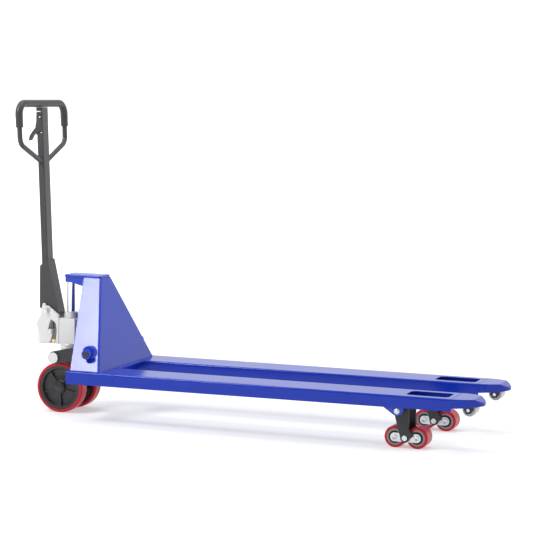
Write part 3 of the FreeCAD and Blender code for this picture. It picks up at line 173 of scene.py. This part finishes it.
wear, wear_in, wear_out = new_group("Edge wear", [
    ("Place", "INPUT", "NodeSocketVector", None), ("Amount", "INPUT", "NodeSocketFloat", 0.3),
    ("Mask", "OUTPUT", "NodeSocketFloat", None), ("Normal", "OUTPUT", "NodeSocketVector", None)])
wear_round = wear.nodes.new("ShaderNodeBevel")
wear_round.samples = 4
wear_round.inputs["Radius"].default_value = 0.0012
wear_true = wear.nodes.new("ShaderNodeNewGeometry")
wear_dot = wear.nodes.new("ShaderNodeVectorMath")
wear_dot.operation = "DOT_PRODUCT"
wear_noise = wear.nodes.new("ShaderNodeTexNoise")
wear_noise.inputs["Scale"].default_value = 38
wear_edge = wear.nodes.new("ShaderNodeMapRange")
for socket, number in (("From Min", 0.985), ("From Max", 0.90), ("To Min", 0.0), ("To Max", 1.0)):
    wear_edge.inputs[socket].default_value = number
wear_spots = wear.nodes.new("ShaderNodeMapRange")
for socket, number in (("From Min", 0.52), ("From Max", 0.66), ("To Min", 0.0), ("To Max", 1.0)):
    wear_spots.inputs[socket].default_value = number
wear_both = wear.nodes.new("ShaderNodeMath")
wear_both.operation = "MULTIPLY"
wear_scaled = wear.nodes.new("ShaderNodeMath")
wear_scaled.operation = "MULTIPLY"
wear.links.new(wear_round.outputs["Normal"], wear_dot.inputs[0])
wear.links.new(wear_true.outputs["True Normal"], wear_dot.inputs[1])
wear.links.new(wear_dot.outputs["Value"], wear_edge.inputs["Value"])
wear.links.new(wear_in.outputs["Place"], wear_noise.inputs["Vector"])
wear.links.new(wear_noise.outputs["Fac"], wear_spots.inputs["Value"])
wear.links.new(wear_edge.outputs["Result"], wear_both.inputs[0])
wear.links.new(wear_spots.outputs["Result"], wear_both.inputs[1])
wear.links.new(wear_both.outputs[0], wear_scaled.inputs[0])
wear.links.new(wear_in.outputs["Amount"], wear_scaled.inputs[1])
wear.links.new(wear_scaled.outputs[0], wear_out.inputs["Mask"])
wear.links.new(wear_round.outputs["Normal"], wear_out.inputs["Normal"])


def surface(name, colour, shade, worn, rough, spread, metal=0.0, coat=0.0, coat_rough=0.1, level=0.5,
            grain_scale=60.0, bump=0.05, depth=0.0004, amount=0.3):
    """A finish: colour clouded with a shade, worn along its edges, with uneven gloss and fine grain."""
    finish = bpy.data.materials.new(name)
    finish.use_nodes = True
    tree = finish.node_tree
    shader = tree.nodes["Principled BSDF"]
    shader.inputs["Metallic"].default_value = metal
    shader.inputs["Coat Weight"].default_value = coat
    shader.inputs["Coat Roughness"].default_value = coat_rough
    shader.inputs["Specular IOR Level"].default_value = level
    where = tree.nodes.new("ShaderNodeTexCoord")
    speckle = tree.nodes.new("ShaderNodeGroup")
    speckle.node_tree = grain
    speckle.inputs["Scale"].default_value = grain_scale
    rub = tree.nodes.new("ShaderNodeGroup")
    rub.node_tree = wear
    rub.inputs["Amount"].default_value = amount
    cloud = tree.nodes.new("ShaderNodeMix")
    cloud.data_type = "RGBA"
    cloud.inputs["A"].default_value = (*colour, 1)
    cloud.inputs["B"].default_value = (*shade, 1)
    bare = tree.nodes.new("ShaderNodeMix")
    bare.data_type = "RGBA"
    bare.inputs["B"].default_value = (*worn, 1)
    gloss = tree.nodes.new("ShaderNodeMapRange")
    for socket, number in (("From Min", 0.3), ("From Max", 0.7), ("To Min", rough - spread),
                           ("To Max", rough + spread)):
        gloss.inputs[socket].default_value = number
    relief = tree.nodes.new("ShaderNodeBump")
    relief.inputs["Strength"].default_value = bump
    relief.inputs["Distance"].default_value = depth
    for start, end in ((where.outputs["Object"], speckle.inputs["Place"]),
                       (where.outputs["Object"], rub.inputs["Place"]),
                       (speckle.outputs["Cloud"], cloud.inputs["Factor"]),
                       (cloud.outputs["Result"], bare.inputs["A"]),
                       (rub.outputs["Mask"], bare.inputs["Factor"]),
                       (bare.outputs["Result"], shader.inputs["Base Color"]),
                       (speckle.outputs["Cloud"], gloss.inputs["Value"]),
                       (gloss.outputs["Result"], shader.inputs["Roughness"]),
                       (speckle.outputs["Height"], relief.inputs["Height"]),
                       (rub.outputs["Normal"], relief.inputs["Normal"]),
                       (relief.outputs["Normal"], shader.inputs["Normal"])):
        tree.links.new(start, end)
    return finish


def wear_finish(nodes, finish):
    """Gives carried-over parts a finish."""
    for name in nodes:
        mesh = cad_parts[name].data
        mesh.materials.clear()
        mesh.materials.append(finish)


blue_coat = surface("blue powder coat", (0.002, 0.026, 0.37), (0.003, 0.030, 0.40), (0.04, 0.09, 0.48),
                    0.17, 0.03, level=0.32, grain_scale=260, bump=0.10, depth=0.0002)
wear_finish(["right_fork", "left_fork"], blue_coat)


def add_piece(name, mesh, finish, slot, body, *replaced):
    """Links a finished mesh as a piece on a body."""
    piece = bpy.data.objects.new(name, mesh)
    stage_scene.collection.objects.link(piece)
    if finish is not None:
        mesh.materials.clear()
        mesh.materials.append(finish)
    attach(piece, body)
    if replaced:
        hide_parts(*replaced)
    return piece


def casting(name, node, finish, slot, body, voxel, passes=6):
    """A cast piece: the part's own shape with every corner rounded as in a mould."""
    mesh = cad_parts[node].data.copy()
    mesh.name = name
    shape = bmesh.new()
    shape.from_mesh(mesh)
    bmesh.ops.remove_doubles(shape, verts=shape.verts, dist=1e-6)
    shape.to_mesh(mesh)
    shape.free()
    rough = bpy.data.objects.new(name + "_rough", mesh)
    stage_scene.collection.objects.link(rough)
    fine = rough.modifiers.new("mould", "REMESH")
    fine.mode = "VOXEL"
    fine.voxel_size = voxel
    fine.use_smooth_shade = True
    even = rough.modifiers.new("round", "SMOOTH")
    even.iterations = passes
    even.factor = 0.5
    seen = rough.evaluated_get(bpy.context.evaluated_depsgraph_get())
    cast = bpy.data.meshes.new_from_object(seen)
    cast.name = name
    bpy.data.objects.remove(rough)
    return add_piece(name, cast, finish, slot, body, node)


for side in ("right", "left"):
    casting(side + "_nose_pressing", side + "_fork_tip", blue_coat, "blue_paint", "frame", 0.0015, 12)

# Weld beads of the frame: laid by a robot in one pass and painted over, so they show as a low row of
# ripples where the noses and the heel plate meet the forks.
def grown(name, tree, settings, path=None):
    """Runs a Geometry Nodes tree with its inputs set by name, and gives the plain mesh."""
    holder = bpy.data.objects.new(name + "_grown", path or bpy.data.meshes.new(name + "_path"))
    stage_scene.collection.objects.link(holder)
    modifier = holder.modifiers.new("grown", "NODES")
    modifier.node_group = tree
    for item in tree.interface.items_tree:
        if item.item_type == "SOCKET" and item.in_out == "INPUT" and item.name in settings:
            modifier[item.identifier] = settings[item.name]
    seen = holder.evaluated_get(bpy.context.evaluated_depsgraph_get())
    mesh = bpy.data.meshes.new_from_object(seen)
    mesh.name = name
    holder.modifiers.clear()
    bpy.data.objects.remove(holder)
    return mesh


def new_tree(name, sockets):
    """A Geometry Nodes tree with named inputs."""
    tree = bpy.data.node_groups.new(name, "GeometryNodeTree")
    tree.interface.new_socket(name="Geometry", in_out="OUTPUT", socket_type="NodeSocketGeometry")
    for label, kind in sockets:
        tree.interface.new_socket(name=label, in_out="INPUT", socket_type=kind)
    return tree, tree.nodes.new("NodeGroupInput"), tree.nodes.new("NodeGroupOutput")


def end_tree(tree, geometry, start, out):
    """Realizes what was made, gives it its material and passes it out."""
    real = tree.nodes.new("GeometryNodeRealizeInstances")
    paint = tree.nodes.new("GeometryNodeSetMaterial")
    tree.links.new(geometry, real.inputs["Geometry"])
    tree.links.new(real.outputs["Geometry"], paint.inputs["Geometry"])
    tree.links.new(start.outputs["Material"], paint.inputs["Material"])
    tree.links.new(paint.outputs["Geometry"], out.inputs["Geometry"])


bead, bead_in, bead_out = new_tree("Weld bead", [
    ("Path", "NodeSocketGeometry"), ("Step", "NodeSocketFloat"), ("Radius", "NodeSocketFloat"),
    ("Material", "NodeSocketMaterial")])
bead_curve = bead.nodes.new("GeometryNodeMeshToCurve")
bead_points = bead.nodes.new("GeometryNodeCurveToPoints")
bead_points.mode = "LENGTH"
bead_drop = bead.nodes.new("GeometryNodeMeshIcoSphere")
bead_drop.inputs["Subdivisions"].default_value = 2
bead_set = bead.nodes.new("GeometryNodeInstanceOnPoints")
bead_smooth = bead.nodes.new("GeometryNodeSetShadeSmooth")
bead.links.new(bead_in.outputs["Path"], bead_curve.inputs["Mesh"])
bead.links.new(bead_curve.outputs["Curve"], bead_points.inputs["Curve"])
bead.links.new(bead_in.outputs["Step"], bead_points.inputs["Length"])
bead.links.new(bead_in.outputs["Radius"], bead_drop.inputs["Radius"])
bead.links.new(bead_points.outputs["Points"], bead_set.inputs["Points"])
bead.links.new(bead_drop.outputs["Mesh"], bead_smooth.inputs["Geometry"])
bead.links.new(bead_smooth.outputs["Geometry"], bead_set.inputs["Instance"])
end_tree(bead, bead_set.outputs["Instances"], bead_in, bead_out)


def weld(name, lines, finish, slot, body, radius=0.0016):
    """A bead along each line of points."""
    spots, edges = [], []
    for line in lines:
        first = len(spots)
        spots += line
        edges += [(first + i, first + i + 1) for i in range(len(line) - 1)]
    path = bpy.data.meshes.new(name + "_line")
    path.from_pydata(spots, edges, [])
    mesh = grown(name, bead, {"Step": radius * 1.1, "Radius": radius, "Material": finish}, path)
    return add_piece(name, mesh, None, slot, body)


for side, middle in (("right", -FORK_MIDDLE), ("left", FORK_MIDDLE)):
    nose_x = AXLE + 1.656
    nose_seams = [[(nose_x, middle + edge, 0.160), (nose_x, middle + edge, 0.192)]
                  for edge in (-0.0785, 0.0785)]
    weld(side + "_nose_weld", nose_seams, blue_coat, "blue_paint", "frame", 0.0013)

# Heel plate, lift head, brace and brackets: plate, bent and welded to the forks, painted with them.
# Round collars are welded on where the torsion shaft comes through the heel plate's edges.
# The heel plate's coat is the forks' blue made lighter: a painted sheen for the brighter reflection off
# the plate's face. The brace, collars, brackets, lift head and heel welds share it.
heel_coat_painted_sheen = surface("heel powder coat with painted sheen", (0.006, 0.036, 0.43), (0.009, 0.042, 0.47), (0.06, 0.10, 0.52),
                    0.20, 0.04, level=0.5, grain_scale=240, bump=0.08, depth=0.0002)
wear_finish(["heel_plate", "cross_brace", "shaft_bosses", "yoke_brackets"], heel_coat_painted_sheen)
casting("head_casting", "lift_head", heel_coat_painted_sheen, "blue_paint", "frame", 0.0015, 10)
heel_foot, heel_back, fork_top = AXLE + 0.254, AXLE + 0.131, 0.2
heel_edge, heel_bend = 0.2555, 0.009
heel_seams = [[(heel_back, edge, fork_top), (heel_foot - heel_bend, edge, fork_top)]
              for edge in (-heel_edge, heel_edge)]
heel_seams += [[(heel_foot, -0.246, fork_top), (heel_foot, -0.117, fork_top)],
               [(heel_foot, 0.117, fork_top), (heel_foot, 0.246, fork_top)]]
weld("heel_weld", heel_seams, heel_coat_painted_sheen, "blue_paint", "frame")


def lathe(rings, centre, steps=72, closed=True):
    """Turns a section of (radius, distance along Y) pairs about a cross axis through centre."""
    shape = bmesh.new()
    spots = [shape.verts.new((centre[0] + radius, centre[1] + along, centre[2]))
             for radius, along in rings]
    lines = [shape.edges.new((spots[i], spots[i + 1])) for i in range(len(spots) - 1)]
    if closed:
        lines.append(shape.edges.new((spots[-1], spots[0])))
    bmesh.ops.spin(shape, geom=spots + lines, cent=centre, axis=(0, 1, 0), angle=math.tau, steps=steps)
    bmesh.ops.remove_doubles(shape, verts=shape.verts, dist=1e-6)
    bmesh.ops.recalc_face_normals(shape, faces=shape.faces)
    for face in shape.faces:
        face.smooth = True
    return shape


def as_mesh(name, shapes, sharp=35):
    """Joins bmeshes into one mesh, with creases sharper than an angle kept crisp."""
    mesh = bpy.data.meshes.new(name)
    whole = bmesh.new()
    for shape in shapes:
        part = bpy.data.meshes.new("part")
        shape.to_mesh(part)
        whole.from_mesh(part)
        shape.free()
        bpy.data.meshes.remove(part)
    for edge in whole.edges:
        if len(edge.link_faces) == 2 and edge.calc_face_angle(0) > math.radians(sharp):
            edge.smooth = False
    whole.to_mesh(mesh)
    whole.free()
    return mesh


collar_x, collar_z = AXLE + 0.195, 0.265
collars = []
for sign in (-1, 1):
    collar = [(0.0192, 0.203), (0.0300, 0.203), (0.0306, 0.2185), (0.0285, 0.2225), (0.0205, 0.2250),
              (0.0192, 0.2250)]
    collars.append(lathe([(radius, sign * along) for radius, along in collar], (collar_x, 0, collar_z)))
add_piece("boss_collars", as_mesh("boss_collars", collars), heel_coat_painted_sheen, "blue_paint", "frame")

# Torsion shaft, levers, rods and the rocker: black painted steel. The rocker's arms are cast in one
# with their tube, so their corners are round.
black_coat = surface("black machine paint", (0.020, 0.020, 0.022), (0.030, 0.030, 0.032),
                     (0.10, 0.10, 0.10), 0.42, 0.08, grain_scale=220, bump=0.22, depth=0.0003)
wear_finish(["torsion_shaft", "push_levers", "right_push_rod", "left_push_rod",
             "entry_roller_brackets"], black_coat)
casting("rocker_casting", "rocker_arms", black_coat, "black_steel", "rocker", 0.0018)

# Roller yokes: black painted castings, one in each fork, with a bolt across the fork. The bolts have
# hexagon heads and bright zinc plate, as have the stub pins and link plates below.
zinc = surface("bright zinc plate", (0.74, 0.75, 0.76), (0.66, 0.68, 0.70), (0.82, 0.83, 0.84),
               0.28, 0.08, metal=0.85, grain_scale=320, bump=0.10, depth=0.0002)
wear_finish(["right_rod_pin", "left_rod_pin", "push_lever_pins", "entry_roller_axles",
             "thrust_bearing", "right_bogie_links", "left_bogie_links", "right_bogie_pins",
             "left_bogie_pins", "right_roller_axles", "left_roller_axles", "hand_lever_pin",
             "handle_pivot_pin"], zinc)


def hexagon(centre, sign, across, thick):
    """A bolt head with its corners turned off, along the cross axis."""
    outer = across / math.sqrt(3)
    shoulder, crown = 0.72, 0.84
    shape = bmesh.new()
    rows = []
    for radius, along in ((outer, 0), (outer, thick * shoulder), (outer * crown, thick)):
        rows.append([shape.verts.new((centre[0] + radius * math.cos(math.tau * (i + 0.25) / 6),
                                      centre[1] + sign * along,
                                      centre[2] + radius * math.sin(math.tau * (i + 0.25) / 6)))
                     for i in range(6)])
    for low, high in zip(rows, rows[1:]):
        for i in range(6):
            shape.faces.new((low[i], low[(i + 1) % 6], high[(i + 1) % 6], high[i]))
    shape.faces.new(rows[0])
    shape.faces.new(rows[-1])
    bmesh.ops.recalc_face_normals(shape, faces=shape.faces)
    return shape


bolts = []
bolt_radius, bolt_half, washer_radius, washer_thick = 0.008, 0.0758, 0.0105, 0.0010
for middle in (-FORK_MIDDLE, FORK_MIDDLE):
    spot = (AXLE + 1.454, middle, 0.141)
    bolts.append(lathe([(0, -bolt_half), (bolt_radius, -bolt_half), (bolt_radius, bolt_half),
                        (0, bolt_half)], spot, 36, False))
    for sign in (-1, 1):
        face = (spot[0], middle + sign * bolt_half, spot[2])
        washer_out = sign * washer_thick
        bolts.append(lathe([(0, 0), (washer_radius, 0), (washer_radius, washer_out), (0, washer_out)],
                           face, 36, False))
        bolts.append(hexagon((face[0], face[1] + washer_out, face[2]), sign, 0.0145, 0.0031))
add_piece("yoke_bolts", as_mesh("yoke_bolts", bolts), zinc, "zinc_plate", "frame", "yoke_pins")
for side in ("right", "left"):
    casting(side + "_yoke_casting", side + "_roller_yoke", black_coat, "black_steel", side + "_yoke",
            0.0014, 5)

# Load rollers: a red polyurethane tyre cast on a turned grey core, with a sealed ball bearing pressed
# in each end. The axle ends are peened over the zinc-plated link plates.
red_tyre = surface("red polyurethane", (0.46, 0.004, 0.016), (0.53, 0.007, 0.020), (0.60, 0.06, 0.07),
                   0.32, 0.05, level=0.3, coat=0.08, coat_rough=0.25, grain_scale=180, bump=0.08,
                   depth=0.0002)
grey_core = surface("turned grey core", (0.20, 0.205, 0.21), (0.26, 0.265, 0.27), (0.4, 0.4, 0.4),
                    0.42, 0.08, metal=0.6, grain_scale=300, bump=0.15, depth=0.0002)
seal_rubber = surface("bearing seal", (0.015, 0.015, 0.016), (0.022, 0.022, 0.023), (0.05, 0.05, 0.05),
                      0.55, 0.08, grain_scale=300, bump=0.1)
bogie_x, roller_step, roller_height = AXLE + 1.478, 0.042, 0.040
for side, middle in (("right", -FORK_MIDDLE), ("left", FORK_MIDDLE)):
    rivets = []
    for end, step in (("rear", -roller_step), ("front", roller_step)):
        body = f"{side}_{end}_roller"
        centre = (bogie_x + step, middle, roller_height)
        wear_finish([body + "_tyre"], red_tyre)
        wear_finish([body + "_core"], grey_core)
        seals = []
        for sign in (-1, 1):
            ring = [(0.0128, 0.0302), (0.0228, 0.0302), (0.0228, 0.0325), (0.0215, 0.0332),
                    (0.0205, 0.0322), (0.0150, 0.0322), (0.0142, 0.0332), (0.0128, 0.0332)]
            seals.append(lathe([(radius, sign * along) for radius, along in ring], centre))
            head = [(0, 0.0413), (0.0078, 0.0413), (0.0094, 0.0420), (0.0094, 0.0424), (0.0060, 0.0424),
                    (0.0052, 0.0419), (0, 0.0419)]
            rivets.append(lathe([(radius, sign * along) for radius, along in head], centre, 40, False))
        add_piece(body + "_seals", as_mesh(body + "_seals", seals), seal_rubber, "black_core", body)
    add_piece(side + "_axle_rivets", as_mesh(side + "_axle_rivets", rivets), zinc, "zinc_plate",
              side + "_bogie")

# Entry rollers: natural nylon, turned with a dished face and rounded edges, loose on their pins in
# the fork noses.
nylon = surface("natural nylon", (0.62, 0.63, 0.64), (0.70, 0.71, 0.71), (0.75, 0.75, 0.75), 0.42, 0.06,
                grain_scale=120, bump=0.1, depth=0.0003)
entry_x, entry_height = AXLE + 1.710, 0.158
for side, middle in (("right", -FORK_MIDDLE), ("left", FORK_MIDDLE)):
    half = [(0.00605, 0.0278), (0.0110, 0.0278), (0.0118, 0.0262), (0.0200, 0.0258), (0.0212, 0.0278),
            (0.0235, 0.0280), (0.0255, 0.0262), (0.0260, 0.0240)]
    section = half + [(0.0260, 0.0012), (0.0257, 0.0006)]
    section += [(radius, -along) for radius, along in reversed(section)]
    roller = lathe(section, (entry_x, middle, entry_height))
    add_piece(side + "_nose_roller", as_mesh(side + "_nose_roller", [roller]), nylon, "nylon",
              side + "_entry_roller", side + "_entry_roller")

# Pump: an iron casting sprayed silver, with its lift cylinder, plunger housing, handle ears and neck
# in one. The gland, crosshead, caps and release lever have the same spray.
silver = surface("silver spray", (0.66, 0.66, 0.65), (0.74, 0.74, 0.73), (0.5, 0.5, 0.5), 0.40, 0.07,
                 metal=0.25, coat=0.2, coat_rough=0.3, grain_scale=230, bump=0.30, depth=0.0003)
casting("pump_casting", "pump_body", silver, "silver_casting", "pump_unit", 0.0018, 5)
casting("crosshead_casting", "crosshead", silver, "silver_casting", "carrier", 0.0016, 5)
casting("release_casting", "release_lever", silver, "silver_casting", "release_lever", 0.0009, 4)
wear_finish(["rod_gland", "trunnion_caps"], silver)
brass = surface("turned brass", (0.74, 0.50, 0.20), (0.80, 0.58, 0.27), (0.85, 0.66, 0.36), 0.26, 0.06,
                metal=1.0, grain_scale=260, bump=0.08)
wear_finish(["relief_valve"], brass)

# Nuts on the handle's pivot pin and on the release lever's pin: zinc-plated steel, screwed on from
# the right side of the pump.
pivot_nut = hexagon((AXLE - 0.080, -0.0500, 0.399), -1, 0.0150, 0.0055)
release_nut = hexagon((AXLE - 0.062, -0.0492, 0.316), -1, 0.0110, 0.0040)
add_piece("pivot_nut", as_mesh("pivot_nut", [pivot_nut]), zinc, "zinc_plate", "pump_unit")
add_piece("release_nut", as_mesh("release_nut", [release_nut]), zinc, "zinc_plate", "release_lever")

# Ram and plunger: steel bars, ground and hard chromed, so they mirror the studio in upright bands.
# The ram slides in the gland and the plunger in the pump's housing.
chrome = surface("hard chrome", (0.82, 0.83, 0.85), (0.78, 0.79, 0.81), (0.9, 0.9, 0.9), 0.07, 0.02,
                 metal=1.0, grain_scale=400, bump=0.03, depth=0.0001, amount=0.0)
wear_finish(["piston_rod", "pump_plunger"], chrome)

# Plunger spring: round spring wire with closed ends, wound round the plunger.
coil, coil_in, coil_out = new_tree("Coil", [
    ("Turns", "NodeSocketFloat"), ("Coil radius", "NodeSocketFloat"), ("Rise", "NodeSocketFloat"),
    ("Wire radius", "NodeSocketFloat"), ("Material", "NodeSocketMaterial")])
coil_line = coil.nodes.new("GeometryNodeCurveSpiral")
coil_line.inputs["Resolution"].default_value = 40
coil_wire = coil.nodes.new("GeometryNodeCurvePrimitiveCircle")
coil_wire.inputs["Resolution"].default_value = 12
coil_sweep = coil.nodes.new("GeometryNodeCurveToMesh")
coil_sweep.inputs["Fill Caps"].default_value = True
coil_smooth = coil.nodes.new("GeometryNodeSetShadeSmooth")
coil.links.new(coil_in.outputs["Turns"], coil_line.inputs["Rotations"])
coil.links.new(coil_in.outputs["Coil radius"], coil_line.inputs["Start Radius"])
coil.links.new(coil_in.outputs["Coil radius"], coil_line.inputs["End Radius"])
coil.links.new(coil_in.outputs["Rise"], coil_line.inputs["Height"])
coil.links.new(coil_in.outputs["Wire radius"], coil_wire.inputs["Radius"])
coil.links.new(coil_line.outputs["Curve"], coil_sweep.inputs["Curve"])
coil.links.new(coil_wire.outputs["Curve"], coil_sweep.inputs["Profile Curve"])
coil.links.new(coil_sweep.outputs["Mesh"], coil_smooth.inputs["Geometry"])
end_tree(coil, coil_smooth.outputs["Geometry"], coil_in, coil_out)
spring_low, spring_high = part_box("plunger_spring")
wire = 0.0019
spring_mesh = grown("spring_coil", coil, {
    "Turns": 6.5, "Coil radius": 0.0130, "Rise": spring_high.z - spring_low.z - 2 * wire,
    "Wire radius": wire, "Material": zinc})
spring_mesh.transform(Matrix.Translation((AXLE - 0.106, 0, spring_low.z + wire)))
spring = add_piece("spring_coil", spring_mesh, None, "zinc_plate", "pump_unit", "plunger_spring")
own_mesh(spring)

# Return spring of the lowering valve: a small black coil of round wire, upright in the window on the
# pump's right side.
return_spring = grown("return_spring", coil, {
    "Turns": 6.0, "Coil radius": 0.0066, "Rise": 0.030, "Wire radius": 0.0011, "Material": black_coat})
return_spring.transform(Matrix.Translation((AXLE - 0.055, -0.026, 0.327)))
add_piece("return_spring", return_spring, None, "black_steel", "pump_unit")

# Steering wheels: black cast cores with five thin ribs on each face, a thick red tyre moulded on, and
# one axle through both, closed by a domed cap.
core_black = surface("black wheel core", (0.018, 0.018, 0.020), (0.030, 0.030, 0.032),
                     (0.08, 0.08, 0.08), 0.38, 0.07, grain_scale=200, bump=0.18, depth=0.0003)
spokes, spokes_in, spokes_out = new_tree("Wheel ribs", [
    ("Count", "NodeSocketInt"), ("Size", "NodeSocketVector"), ("Middle", "NodeSocketVector"),
    ("Material", "NodeSocketMaterial")])
spokes_box = spokes.nodes.new("GeometryNodeMeshCube")
spokes_shift = spokes.nodes.new("GeometryNodeTransform")
spokes_row = spokes.nodes.new("GeometryNodeMeshLine")
spokes_row.inputs["Offset"].default_value = (0, 0, 0)
spokes_set = spokes.nodes.new("GeometryNodeInstanceOnPoints")
spokes_turn = spokes.nodes.new("GeometryNodeRotateInstances")
spokes_turn.inputs["Local Space"].default_value = False
spokes_number = spokes.nodes.new("GeometryNodeInputIndex")
spokes_share = spokes.nodes.new("ShaderNodeMath")
spokes_share.operation = "DIVIDE"
spokes_angle = spokes.nodes.new("ShaderNodeMath")
spokes_angle.operation = "MULTIPLY"
spokes_angle.inputs[1].default_value = math.tau
spokes_axis = spokes.nodes.new("ShaderNodeCombineXYZ")
for start, end in ((spokes_in.outputs["Size"], spokes_box.inputs["Size"]),
                   (spokes_box.outputs["Mesh"], spokes_shift.inputs["Geometry"]),
                   (spokes_in.outputs["Middle"], spokes_shift.inputs["Translation"]),
                   (spokes_in.outputs["Count"], spokes_row.inputs["Count"]),
                   (spokes_row.outputs["Mesh"], spokes_set.inputs["Points"]),
                   (spokes_shift.outputs["Geometry"], spokes_set.inputs["Instance"]),
                   (spokes_number.outputs["Index"], spokes_share.inputs[0]),
                   (spokes_in.outputs["Count"], spokes_share.inputs[1]),
                   (spokes_share.outputs[0], spokes_angle.inputs[0]),
                   (spokes_angle.outputs[0], spokes_axis.inputs["Y"]),
                   (spokes_axis.outputs[0], spokes_turn.inputs["Rotation"]),
                   (spokes_set.outputs["Instances"], spokes_turn.inputs["Instances"])):
    spokes.links.new(start, end)
end_tree(spokes, spokes_turn.outputs["Instances"], spokes_in, spokes_out)
wheel_middle, axle_height = 0.0645, 0.100
for side, middle in (("right", -wheel_middle), ("left", wheel_middle)):
    wear_finish([side + "_wheel_tyre"], red_tyre)
    half = [(0.01255, 0.0250), (0.0195, 0.0250), (0.0220, 0.0235), (0.0235, 0.0120), (0.0290, 0.0080),
            (0.0660, 0.0062), (0.0715, 0.0085), (0.0742, 0.0190), (0.0762, 0.0224), (0.0880, 0.0230)]
    section = half + [(radius, -along) for radius, along in reversed(half)]
    dish = lathe(section, (AXLE, middle, axle_height), 96)
    ribs = grown(side + "_ribs", spokes, {"Count": 5, "Size": (0.053, 0.033, 0.0045),
                                          "Middle": (0.0480, 0, 0), "Material": core_black})
    ribs.transform(Matrix.Translation((AXLE, middle, axle_height)) @ Matrix.Rotation(0.3, 4, "Y"))
    whole = bmesh.new()
    whole.from_mesh(ribs)
    add_piece(side + "_wheel_casting", as_mesh(side + "_wheel_casting", [dish, whole]), core_black,
              "black_core", side + "_steering_wheel", side + "_wheel_core")
axle_radius, axle_half = 0.0125, 0.0905
shank = lathe([(0, -axle_half), (axle_radius, -axle_half), (axle_radius, axle_half), (0, axle_half)],
              (AXLE, 0, axle_height), 48, False)
caps = []
for sign in (-1, 1):
    cap = [(0, 0.0897), (0.0172, 0.0897), (0.0176, 0.0925), (0.0160, 0.0945), (0.0105, 0.0952),
           (0.0080, 0.0958), (0, 0.0960)]
    caps.append(lathe([(radius, sign * along) for radius, along in cap], (AXLE, 0, axle_height), 56,
                      False))
add_piece("axle_and_caps", as_mesh("axle_and_caps", [shank] + caps), core_black, "black_core",
          "pump_unit", "wheel_axle")

# Drawbar: a rectangular tube held in a tapered channel, with a loop of round tube welded on, all in
# dark grey satin powder coat. The tube's rear and side walls are cut away round the pressed hand
# lever, where a nylon bush carries the pull rod.
dark_coat = surface("dark satin coat", (0.034, 0.034, 0.036), (0.042, 0.042, 0.044), (0.12, 0.12, 0.12),
                    0.42, 0.06, coat=0.12, coat_rough=0.3, grain_scale=300, bump=0.14, depth=0.0002)
wear_finish(["drawbar_yoke", "handle_loop"], dark_coat)
tube_lean = math.radians(2.57)
notch_middle, notch_back = Vector((AXLE - 0.1252, 0, 1.1515)), 0.014
notch_deep, notch_wide, notch_high = 0.048, 0.080, 0.087
notch_shape = bmesh.new()
bmesh.ops.create_cube(notch_shape, size=1, matrix=Matrix.Translation(notch_middle)
                      @ Matrix.Rotation(-tube_lean, 4, "Y") @ Matrix.Translation((-notch_back, 0, 0))
                      @ Matrix.Diagonal((notch_deep, notch_wide, notch_high, 1)))
notch_tool = bpy.data.objects.new("notch_tool", as_mesh("notch_tool", [notch_shape]))
tube_rough = bpy.data.objects.new("tube_rough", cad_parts["drawbar_tube"].data.copy())
for helper in (notch_tool, tube_rough):
    stage_scene.collection.objects.link(helper)
notch_cut = tube_rough.modifiers.new("notch", "BOOLEAN")
notch_cut.operation = "DIFFERENCE"
notch_cut.object = notch_tool
tube_seen = tube_rough.evaluated_get(bpy.context.evaluated_depsgraph_get())
tube_mesh = bpy.data.meshes.new_from_object(tube_seen)
tube_mesh.name = "notched_tube"
for helper in (notch_tool, tube_rough):
    bpy.data.objects.remove(helper)
add_piece("notched_tube", tube_mesh, dark_coat, "dark_paint", "drawbar", "drawbar_tube")
bush = lathe([(0.0025, -0.012), (0.0058, -0.012), (0.0064, -0.011), (0.0064, 0.011), (0.0058, 0.012),
              (0.0025, 0.012)], (AXLE - 0.1265, 0, 1.1880), 40)
add_piece("link_bush", as_mesh("link_bush", [bush]), nylon, "nylon", "drawbar")
casting("hand_lever_pressing", "hand_lever", dark_coat, "dark_paint", "hand_lever", 0.0011, 3)

# Grip: black rubber moulded round the loop's top and sides, thick over the drawbar's end, with a
# fine grain and rounded corners.
grip_rubber = surface("grip rubber", (0.028, 0.028, 0.030), (0.038, 0.038, 0.040), (0.06, 0.06, 0.06),
                      0.46, 0.06, grain_scale=420, bump=0.25, depth=0.0003, amount=0.0)
casting("grip_moulding", "handle_grip", grip_rubber, "grip_rubber", "drawbar", 0.0015, 8)
